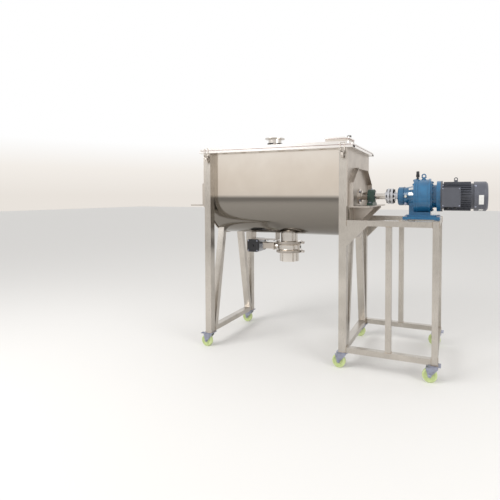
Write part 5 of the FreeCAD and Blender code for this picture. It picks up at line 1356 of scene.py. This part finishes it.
@dataclass
class LidSet:
    """Beads, clamp band, knob and hinge screws of the lid and its hatch."""

    machine: Machine
    band_low: float = 22.0
    band_high: float = 34.0
    hatch_half: float = 114.0
    keeper: tuple[float, float, float] = (60.0, 16.0, 3.0)

    def build(self) -> list[bpy.types.Object]:
        """Makes every piece of the set."""
        return [self.neck_bead(), self.neck_band(), self.band_bolt(), self.curb_bead(), self.hatch_seal(),
                self.knob_grip(), self.knob_washer(), self.hinge_screws(), self.fixed_hinge_screws(),
                self.hatch_screws(), self.keepers()]

    def neck_place(self) -> Vector:
        """The middle of the feed neck's foot."""
        low, high = reach("inlet_port")
        return Vector(((low.x + high.x) / 2, (low.y + high.y) / 2, low.z))

    def neck_bead(self) -> bpy.types.Object:
        """The bead round the neck's foot on the lid."""
        spot = self.neck_place()
        bead = spun([(81.5, 0), (87, 0), (85.6, 2.4), (83.6, 3.8), (81.5, 4.2)], 72)
        return ready(copies(bead, [at(*spot)]), "feed_neck_bead", Shop.WELD, "lid")

    def neck_band(self) -> bpy.types.Object:
        """The dark rubber-lined band round the neck."""
        spot = self.neck_place()
        band = spun([(74, self.band_low - 1), (77, self.band_low - 1), (77.6, self.band_low + 1),
                     (77.6, self.band_high - 1), (77, self.band_high + 1), (74, self.band_high + 1)], 80)
        return ready(copies(band, [at(*spot)]), "feed_neck_band", Shop.OXIDE, "lid")

    def band_bolt(self) -> bpy.types.Object:
        """The band's two ears and the bolt that draws them together, on the camera side."""
        spot = self.neck_place()
        z = (self.band_low + self.band_high) / 2
        ear = block((4, 20, 14), (0, 0, 0))
        soften(ear, 1.6, 2)
        ears = copies(ear, [at(-7, 0, 0), at(7, 0, 0)])
        bolt = copies(hex_head(11, 6, 7.5), [at(9, 2, 0, Axis.X)])
        end = copies(hex_nut(11, 7, 3, 7), [at(-9, 2, 0, Axis.MINUS_X)])
        shank = copies(disc(3, 20, 16, -10), [at(0, 2, 0, Axis.X)])
        whole = joined([ears, bolt, end, shank])
        turn = Matrix.Rotation(math.radians(-62), 4, "Z")
        place = (Matrix.Translation(mm(spot.x, spot.y, spot.z + z)) @ turn
                 @ Matrix.Translation(mm(82, 0, 0)) @ Matrix.Rotation(math.radians(90), 4, "Z"))
        return ready(copies(whole, [place]), "feed_neck_band_bolt", Shop.TURNED, "lid")

    def curb_bead(self) -> bpy.types.Object:
        """The bead round the hatch curb's foot."""
        curb_low, curb_high = reach("hatch_curb")
        side = 2 * self.hatch_half
        x = (curb_low.x + curb_high.x) / 2
        place = at(x, curb_low.y + self.hatch_half, curb_low.z)
        return ready(copies(weld_loop(side, side, 4.0), [place]), "hatch_curb_bead", Shop.WELD,
                     "lid")

    def hatch_seal(self) -> bpy.types.Object:
        """The red seal's edge, seen as a line between the hatch and its curb."""
        curb_low, curb_high = reach("hatch_curb")
        side = 2 * self.hatch_half + 3
        seal = block((side, side, 2.4), (0, 0, 0))
        with editing(seal):
            for axis in (Axis.Z, Axis.MINUS_Z):
                pick_faces(facing(axis, 1.2))
                bpy.ops.mesh.inset(thickness=7.5 * MM, depth=-0.6 * MM)
        soften(seal, 0.5, 1)
        top = reach("hatch_cover")[0].z + 8.0
        place = at((curb_low.x + curb_high.x) / 2, curb_low.y + self.hatch_half, top)
        return ready(copies(seal, [place]), "hatch_seal", Shop.SILICONE, "lid")

    def knob_place(self) -> Vector:
        """The foot of the hatch's clamp knob."""
        curb_low, curb_high = reach("hatch_curb")
        x = (curb_low.x + curb_high.x) / 2 + self.hatch_half - 20
        return Vector((x, curb_low.y + self.hatch_half, reach("hatch_cover")[0].z + 20))

    def knob_grip(self) -> bpy.types.Object:
        """The knob's ring of eight finger lobes."""
        spot = self.knob_place()
        lobe = lathe([(4.6, 11), (5.6, 13), (5.6, 24), (4.6, 27), (2.4, 28.4)], 16)
        places = [Matrix.Translation(mm(*spot)) @ Matrix.Rotation(math.radians(45 * index), 4, "Z")
                  @ Matrix.Translation(mm(14.4, 0, 0)) for index in range(8)]
        return ready(copies(lobe, places), "hatch_knob_lobes", Shop.BLACK, "hatch")

    def knob_washer(self) -> bpy.types.Object:
        """The bright washer under the knob."""
        spot = self.knob_place()
        washer = lathe([(14, 0), (14, 1.6), (12, 2.4)], 32)
        return ready(copies(washer, [at(*spot)]), "hatch_knob_washer", Shop.TURNED,
                     "hatch")

    def hinge_x(self) -> list[float]:
        """The three hinge stations along the back."""
        low, high = reach("lid_hinge_leaves")
        return [low.x + 60, (low.x + high.x) / 2, high.x - 60]

    def hinge_screws(self) -> bpy.types.Object:
        """Two screws through each lid leaf."""
        top = reach("lid_gasket")[1].z + 11.0
        places = [at(x + side, 470, top) for x in self.hinge_x() for side in (-16, 16)]
        return ready(copies(dome_head(7, 3.4), places), "lid_hinge_rivets", Shop.TURNED,
                     "lid")

    def fixed_hinge_screws(self) -> bpy.types.Object:
        """Two small hexagon screws through each fixed leaf into the back rim."""
        rim = reach("trough_rim")
        places = [at(x + side, rim[1].y, rim[0].z + 6, Axis.Y) for x in self.hinge_x() for side in (-45, 45)]
        return ready(copies(hex_head(10, 5, 6.5), places), "rim_hinge_screws", Shop.TURNED,
                     "machine")

    def hatch_screws(self) -> bpy.types.Object:
        """Two rivets through the hatch's hinge leaf."""
        low = reach("hatch_cover")[0]
        x = self.knob_place().x - self.hatch_half + 20
        y = self.knob_place().y + self.hatch_half - 12
        places = [at(x + side, y, low.z + 20) for side in (-15, 15)]
        return ready(copies(dome_head(5.5, 2.6), places), "hatch_hinge_rivets", Shop.TURNED,
                     "hatch")

    def keepers(self) -> bpy.types.Object:
        """The stops on the lid's border behind each latch's crossbar."""
        m = self.machine
        width, depth, sheet = self.keeper
        stop = block((width, depth, sheet), (0, 0, sheet / 2))
        with editing(stop):
            pick_faces(lambda centre, normal: normal.y > 0.9)
            bpy.ops.mesh.extrude_region_move(TRANSFORM_OT_translate={"value": mm(0, 2.5, 0)})
            pick_faces(lambda centre, normal: normal.z > 0.9 and centre.y > depth / 2 * MM)
            bpy.ops.mesh.extrude_region_move(TRANSFORM_OT_translate={"value": mm(0, 0, 5)})
        soften(stop, 0.8, 2)
        top = reach("lid_gasket")[1].z + 11.0
        places = [at(x, m.front + 15, top) for x in (m.left + m.leg / 2, m.right - m.leg / 2)]
        return ready(copies(stop, places), "latch_stops", Shop.LID, "lid")


@dataclass
class LatchSet:
    """Screws of the latch plates and the riveted ends of their pins."""

    machine: Machine
    pivot: tuple[float, float] = (-490.0, 1978.0)
    bail: tuple[float, float] = (-494.0, 1966.0)
    plate_out: float = 5.0

    def build(self) -> list[bpy.types.Object]:
        """Makes every piece of the set."""
        made = [self.screws()]
        for side, x in self.stations().items():
            made += [self.rivets(side, x), self.finger_tab(side, x)]
        return made

    def stations(self) -> dict[str, float]:
        """Where each latch stands along the machine."""
        m = self.machine
        return {"left": m.left + m.leg / 2, "right": m.right - m.leg / 2}

    def screws(self) -> bpy.types.Object:
        """Four sunk screws in each latch plate."""
        low, high = reach("latch_bases")
        m = self.machine
        places = [at(x + dx, m.front - self.plate_out, z, Axis.MINUS_Y)
                  for x in self.stations().values() for dx in (-15, 15) for z in (low.z + 8, high.z - 8)]
        return ready(copies(dome_head(4.5, 1.8), places), "latch_plate_screws", Shop.TURNED,
                     "machine")

    def rivets(self, side: str, x: float) -> bpy.types.Object:
        """Round heads on both ends of a lever's pin and of its bail's pin."""
        y, z = self.pivot
        bail_y, bail_z = self.bail
        places = [at(x + way * 15, y, z, axis) for way, axis in ((1, Axis.X), (-1, Axis.MINUS_X))]
        places += [at(x + way * 22.6, bail_y, bail_z, axis)
                   for way, axis in ((1, Axis.X), (-1, Axis.MINUS_X))]
        return ready(copies(dome_head(4.2, 1.6), places), f"{side}_lever_rivets", Shop.TURNED,
                     f"{side}_lever")

    def finger_tab(self, side: str, x: float) -> bpy.types.Object:
        """The rolled lip on a lever's finger tab and the pressed rib down its face."""
        low = reach(f"{side}_latch_lever")[0]
        lip = disc(3.0, 30, 20, -15)
        with editing(lip):
            for axis, height in ((Axis.Z, 15), (Axis.MINUS_Z, 15)):
                pick_faces(facing(axis, height))
                bpy.ops.mesh.inset(thickness=0.8 * MM, depth=0.6 * MM)
        rib = block((9, 34, 2.4), (0, 0, 1.0))
        with editing(rib):
            pick_faces(facing(Axis.Z, 2.2))
            bpy.ops.transform.resize(value=(0.55, 0.86, 1.0))
        soften(rib, 0.7, 2, 25)
        whole = joined([copies(lip, [at(x, low.y + 3.4, low.z + 2, Axis.X)]),
                        copies(rib, [at(x, -502, low.z + 27, Axis.MINUS_Y)])])
        return ready(whole, f"{side}_lever_lip", Shop.TURNED, f"{side}_lever")


# ------------------------------------------------------------------ casters


@dataclass
class CasterSet:
    """Cast polyurethane wheels with their bearings, axle bolts, ball races and plate beads."""

    machine: Machine
    radius: float = 62.5
    width: float = 36.0
    axle: float = 6.05
    trail: float = 38.0
    fork_half: float = 24.0
    race_low: float = 139.0
    race_high: float = 149.0

    def build(self) -> list[bpy.types.Object]:
        """Makes the pieces of all six casters."""
        made = [self.plate_beads()]
        for name, (x, y) in self.stations().items():
            made += [self.tread(name, x, y), self.centre(name, x, y), self.axle_ends(name, x, y),
                     self.race(name, x, y)]
        made.append(self.pedal_pad())
        return made

    def stations(self) -> dict[str, tuple[float, float]]:
        """The kingpin of each caster, in millimetres."""
        m = self.machine
        half, thin = m.leg / 2, m.tube / 2
        return {
            "left_front": (m.left + half, m.front + half), "left_rear": (m.left + half, m.back - half),
            "middle_front": (m.right - half, m.front + half), "middle_rear": (m.right - half, m.back - half),
            "right_front": (m.stand_end - thin, m.front + thin),
            "right_rear": (m.stand_end - thin, m.back - thin),
        }

    def axle_place(self, x: float, y: float) -> Matrix:
        """The wheel's middle, its axle along Y."""
        return at(x - self.trail, y, self.radius, Axis.Y)

    def tread(self, name: str, x: float, y: float) -> bpy.types.Object:
        """The wheel itself: crowned tread, round shoulders, dished sides with a step to the hub."""
        far, half = self.radius, self.width / 2
        right_side = [(far, 0), (far - 0.1, half - 11), (far - 1.2, half - 6), (far - 3.6, half - 2.4),
                      (far - 8, half - 0.4), (far - 12, half), (far - 15.5, half - 1.2),
                      (far - 16.5, half - 6), (25, half - 7.5), (21.5, half - 5), (20.5, half - 0.8),
                      (19.5, half), (self.axle, half)]
        left_side = [(radius, -height) for radius, height in reversed(right_side[1:])]
        wheel = spun(right_side + left_side, 72)
        with editing(wheel):
            self.dish_ribs()
        placed = copies(wheel, [self.axle_place(x, y)])
        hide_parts(f"{name}_caster_wheel")
        return ready(placed, f"{name}_wheel_tread", Shop.URETHANE, f"{name}_wheel", 28)

    def dish_ribs(self) -> None:
        """Raises six broad spokes in the dish on both sides of a wheel, in edit mode."""
        def spoke(centre: Vector, normal: Vector) -> bool:
            reach_out = math.hypot(centre.x, centre.y) / MM
            turn = math.degrees(math.atan2(centre.y, centre.x)) % 60
            return 26 < reach_out < self.radius - 17 and abs(normal.z) > 0.8 and turn < 20
        pick_faces(spoke)
        bpy.ops.mesh.extrude_region_shrink_fatten(TRANSFORM_OT_shrink_fatten={"value": 2.6 * MM})

    def centre(self, name: str, x: float, y: float) -> bpy.types.Object:
        """The bearing's shield and inner ring on both sides of the hub."""
        half = self.width / 2
        section = [(7.5, -0.4), (17, -0.4), (17, 0.5), (15.6, 1.0), (11, 0.5), (9.6, 1.5), (7.5, 1.5)]
        shield = spun(section, 40)
        sides = copies(shield, [at(0, 0, half), at(0, 0, -half, Axis.MINUS_Z)])
        return ready(copies(sides, [self.axle_place(x, y)]), f"{name}_wheel_shields", Shop.ZINC,
                     f"{name}_wheel")

    def axle_ends(self, name: str, x: float, y: float) -> bpy.types.Object:
        """The axle bolt's head on one side of the fork and its nut on the other."""
        head = copies(hex_head(19, 8, 11), [at(0, 0, self.fork_half, Axis.Z)])
        nut = copies(hex_nut(19, 9, 6, 3), [at(0, 0, -self.fork_half, Axis.MINUS_Z)])
        whole = copies(joined([head, nut]), [self.axle_place(x, y)])
        return ready(whole, f"{name}_axle_bolt", Shop.ZINC, f"{name}_swivel")

    def race(self, name: str, x: float, y: float) -> bpy.types.Object:
        """The rolled lip and the dust ring of the swivel's ball race."""
        low, high = self.race_low, self.race_high
        lip = spun([(26.6, low + 0.6), (31, low + 0.6), (33, low + 2.4), (33, low + 4.4), (31.4, low + 5.6),
                    (29.6, low + 5.4), (28.6, high - 1.4), (26.6, high - 1)], 56)
        return ready(copies(lip, [at(x, y, 0)]), f"{name}_race_lip", Shop.ZINC,
                     f"{name}_swivel")

    def plate_beads(self) -> bpy.types.Object:
        """Beads that join each tube to its caster's plate."""
        m = self.machine
        wide, narrow = [], []
        for name, (x, y) in self.stations().items():
            (narrow if name.startswith("right") else wide).append(at(x, y, m.leg_foot))
        loops = joined([copies(weld_loop(m.leg, m.leg), wide), copies(weld_loop(m.tube, m.tube), narrow)])
        return ready(loops, "caster_plate_beads", Shop.WELD, "machine")

    def pedal_pad(self) -> bpy.types.Object:
        """Five ribs pressed up across the brake pedal."""
        low, high = reach("brake_pedal")
        rib = block((3.4, high.y - low.y - 16, 2.2), (0, 0, 0.8))
        with editing(rib):
            pick_faces(facing(Axis.Z, 1.9))
            bpy.ops.transform.resize(value=(0.4, 0.94, 1.0))
        soften(rib, 0.5, 2, 25)
        places = [at(low.x + 5 + 7 * index, (low.y + high.y) / 2, high.z) for index in range(5)]
        return ready(copies(rib, places), "brake_pedal_ribs", Shop.ZINC, "pedal")


SETS: tuple[type, ...] = (FrameSet, TroughSet, BearingSet, AgitatorSet, CouplingSet, GearboxSet, MotorSet,
                          ValveSet, LidSet, LatchSet, CasterSet)


# ------------------------------------------------------------------ solids


@dataclass
class SolidSet:
    """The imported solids: each keeps its shape and gets its finish and its smooth curves."""

    finishes: dict[str, Shop] = field(default_factory=lambda: {
        "stainless_tube": Shop.TUBE, "polished_stainless": Shop.SHEET, "stainless_plate": Shop.PLATE,
        "stainless_turned": Shop.TURNED, "stainless_cast": Shop.PLATE, "red_silicone": Shop.SILICONE,
        "green_casting": Shop.GREEN, "zinc_bolts": Shop.ZINC, "zinc_plate": Shop.ZINC,
        "blue_casting": Shop.BLUE, "black_fittings": Shop.BLACK, "grey_casting": Shop.GREY,
        "grey_sheet": Shop.COWL, "core_steel": Shop.CORE, "anodised_aluminium": Shop.ANODISED,
        "black_caps": Shop.BLACK, "bright_steel": Shop.STEEL, "black_bolts": Shop.OXIDE,
        "fan_plastic": Shop.BLACK, "polyurethane": Shop.URETHANE, "red_pedal": Shop.ZINC,
    })
    special: dict[str, Shop] = field(default_factory=lambda: {
        "lid_panel": Shop.LID, "trough_rim": Shop.LID, "hatch_cover": Shop.LID,
        "trough_shell": Shop.TROUGH, "end_plates": Shop.PLATE,
    })
    curve_angle: float = 32.0

    def dress(self) -> None:
        """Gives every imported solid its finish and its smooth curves."""
        slots = {entry["node"]: entry["material_slot"] for entry in frame["record"]["subparts"]}
        for name, solid in frame["nodes"].items():
            finish = self.special.get(name, self.finishes[slots[name]])
            solid.data.materials.clear()
            solid.data.materials.append(finish.value.material())
            self.smooth(solid)

    def smooth(self, solid: bpy.types.Object) -> None:
        """Joins a solid's loose triangles for display and shades its curves smooth."""
        for face in solid.data.polygons:
            face.use_smooth = True
        weld = solid.modifiers.new("Join", "WELD")
        weld.merge_threshold = 0.002 * MM
        split = solid.modifiers.new("Arrises", "EDGE_SPLIT")
        split.split_angle = math.radians(self.curve_angle)


# ------------------------------------------------------------------ stage


@dataclass
class Stage:
    """Plain pale floor, soft light and the camera."""

    floor_half_m: float = 40.0
    floor_colour: str = "eceae7"
    camera_place: Point = (1.158, -3.906, 1.5814)
    camera_turn_deg: Point = (88.13, 0.0, 21.21)
    lens_mm: float = 28.40
    shift: tuple[float, float] = (-0.1015, -0.0838)
    sky_strength: float = 0.78
    haze_low: str = "e9e3dc"
    haze_mid: str = "f3eee8"
    haze_top: float = 0.12

    def build(self) -> None:
        """Sets the floor, the sky, the lamps and the camera."""
        self.floor()
        self.sky()
        self.lamps()
        self.camera()

    def floor(self) -> None:
        """A wide pale floor."""
        floor = start(bpy.ops.mesh.primitive_plane_add, size=2 * self.floor_half_m, location=(0, 0, 0))
        floor.name = "studio_floor"
        made = bpy.data.materials.new("pale_studio_floor")
        made.use_nodes = True
        surface = made.node_tree.nodes["Principled BSDF"]
        surface.inputs["Base Color"].default_value = linear(self.floor_colour)
        surface.inputs["Roughness"].default_value = 0.9
        floor.data.materials.append(made)

    def sky(self) -> None:
        """A white surround for the eye and for reflections, and a softer one for light."""
        world = bpy.data.worlds.new("white_studio")
        bpy.context.scene.world = world
        world.use_nodes = True
        tree = world.node_tree
        tree.nodes.clear()
        ray = add_node(tree, "ShaderNodeLightPath")
        seen = ray.outputs["Is Camera Ray"]
        for other in ("Is Glossy Ray", "Is Transmission Ray"):
            seen = add_node(tree, "ShaderNodeMath", {"operation": "MAXIMUM"},
                            {0: seen, 1: ray.outputs[other]}).outputs[0]
        height = add_node(tree, "ShaderNodeSeparateXYZ", {},
                          {0: add_node(tree, "ShaderNodeTexCoord").outputs["Generated"]}).outputs["Z"]
        haze = add_node(tree, "ShaderNodeValToRGB", {}, {0: height})
        for position, colour in zip((0.0, 0.5, 1.0), (self.haze_low, self.haze_mid, "ffffff")):
            stop = haze.color_ramp.elements[0] if position == 0.0 else haze.color_ramp.elements.new(
                position * self.haze_top)
            stop.color = linear(colour)
        haze.color_ramp.elements.remove(haze.color_ramp.elements[-1])
        white = add_node(tree, "ShaderNodeBackground", {"Strength": 1.0}, {"Color": haze.outputs[0]})
        soft = add_node(tree, "ShaderNodeBackground", {"Color": (1, 1, 1, 1), "Strength": self.sky_strength})
        mixed = add_node(tree, "ShaderNodeMixShader", {}, {0: seen, 1: soft.outputs[0], 2: white.outputs[0]})
        add_node(tree, "ShaderNodeOutputWorld", {}, {"Surface": mixed.outputs[0]})

    def lamps(self) -> None:
        """Two broad soft lamps, one high at the left and one at the right."""
        for name, place, aim, width, power in (
                ("key_softbox", (-3.2, -4.2, 4.6), (0.0, 0.0, 1.2), 3.0, 170.0),
                ("fill_softbox", (4.6, -2.4, 3.4), (0.4, 0.0, 1.3), 2.6, 80.0)):
            light = bpy.data.lights.new(name, "AREA")
            light.shape = "SQUARE"
            light.size = width
            light.energy = power
            lamp = bpy.data.objects.new(name, light)
            lamp.location = place
            lamp.rotation_euler = (Vector(aim) - Vector(place)).to_track_quat("-Z", "Y").to_euler()
            bpy.context.scene.collection.objects.link(lamp)

    def camera(self) -> None:
        """The eye-level camera in front of the right-hand end of the trough."""
        lens = bpy.data.cameras.new("eye_level")
        lens.lens = self.lens_mm
        lens.sensor_width = 36.0
        lens.shift_x, lens.shift_y = self.shift
        camera = bpy.data.objects.new("eye_level", lens)
        camera.location = self.camera_place
        camera.rotation_euler = Euler([math.radians(turn) for turn in self.camera_turn_deg])
        bpy.context.scene.collection.objects.link(camera)
        bpy.context.scene.camera = camera
        bpy.context.scene.view_settings.view_transform = "Standard"


# ------------------------------------------------------------------ making


def main() -> None:
    """Builds the stage, dresses the solids and adds each set of small parts."""
    Stage().build()
    SolidSet().dress()
    log.info("solids dressed: %d", len(frame["nodes"]))
    machine = Machine.measured()
    for maker in SETS:
        for piece in maker(machine).build():
            log.info("%s: %d faces", piece.name, len(piece.data.polygons))


if __name__ == "__main__":
    main()
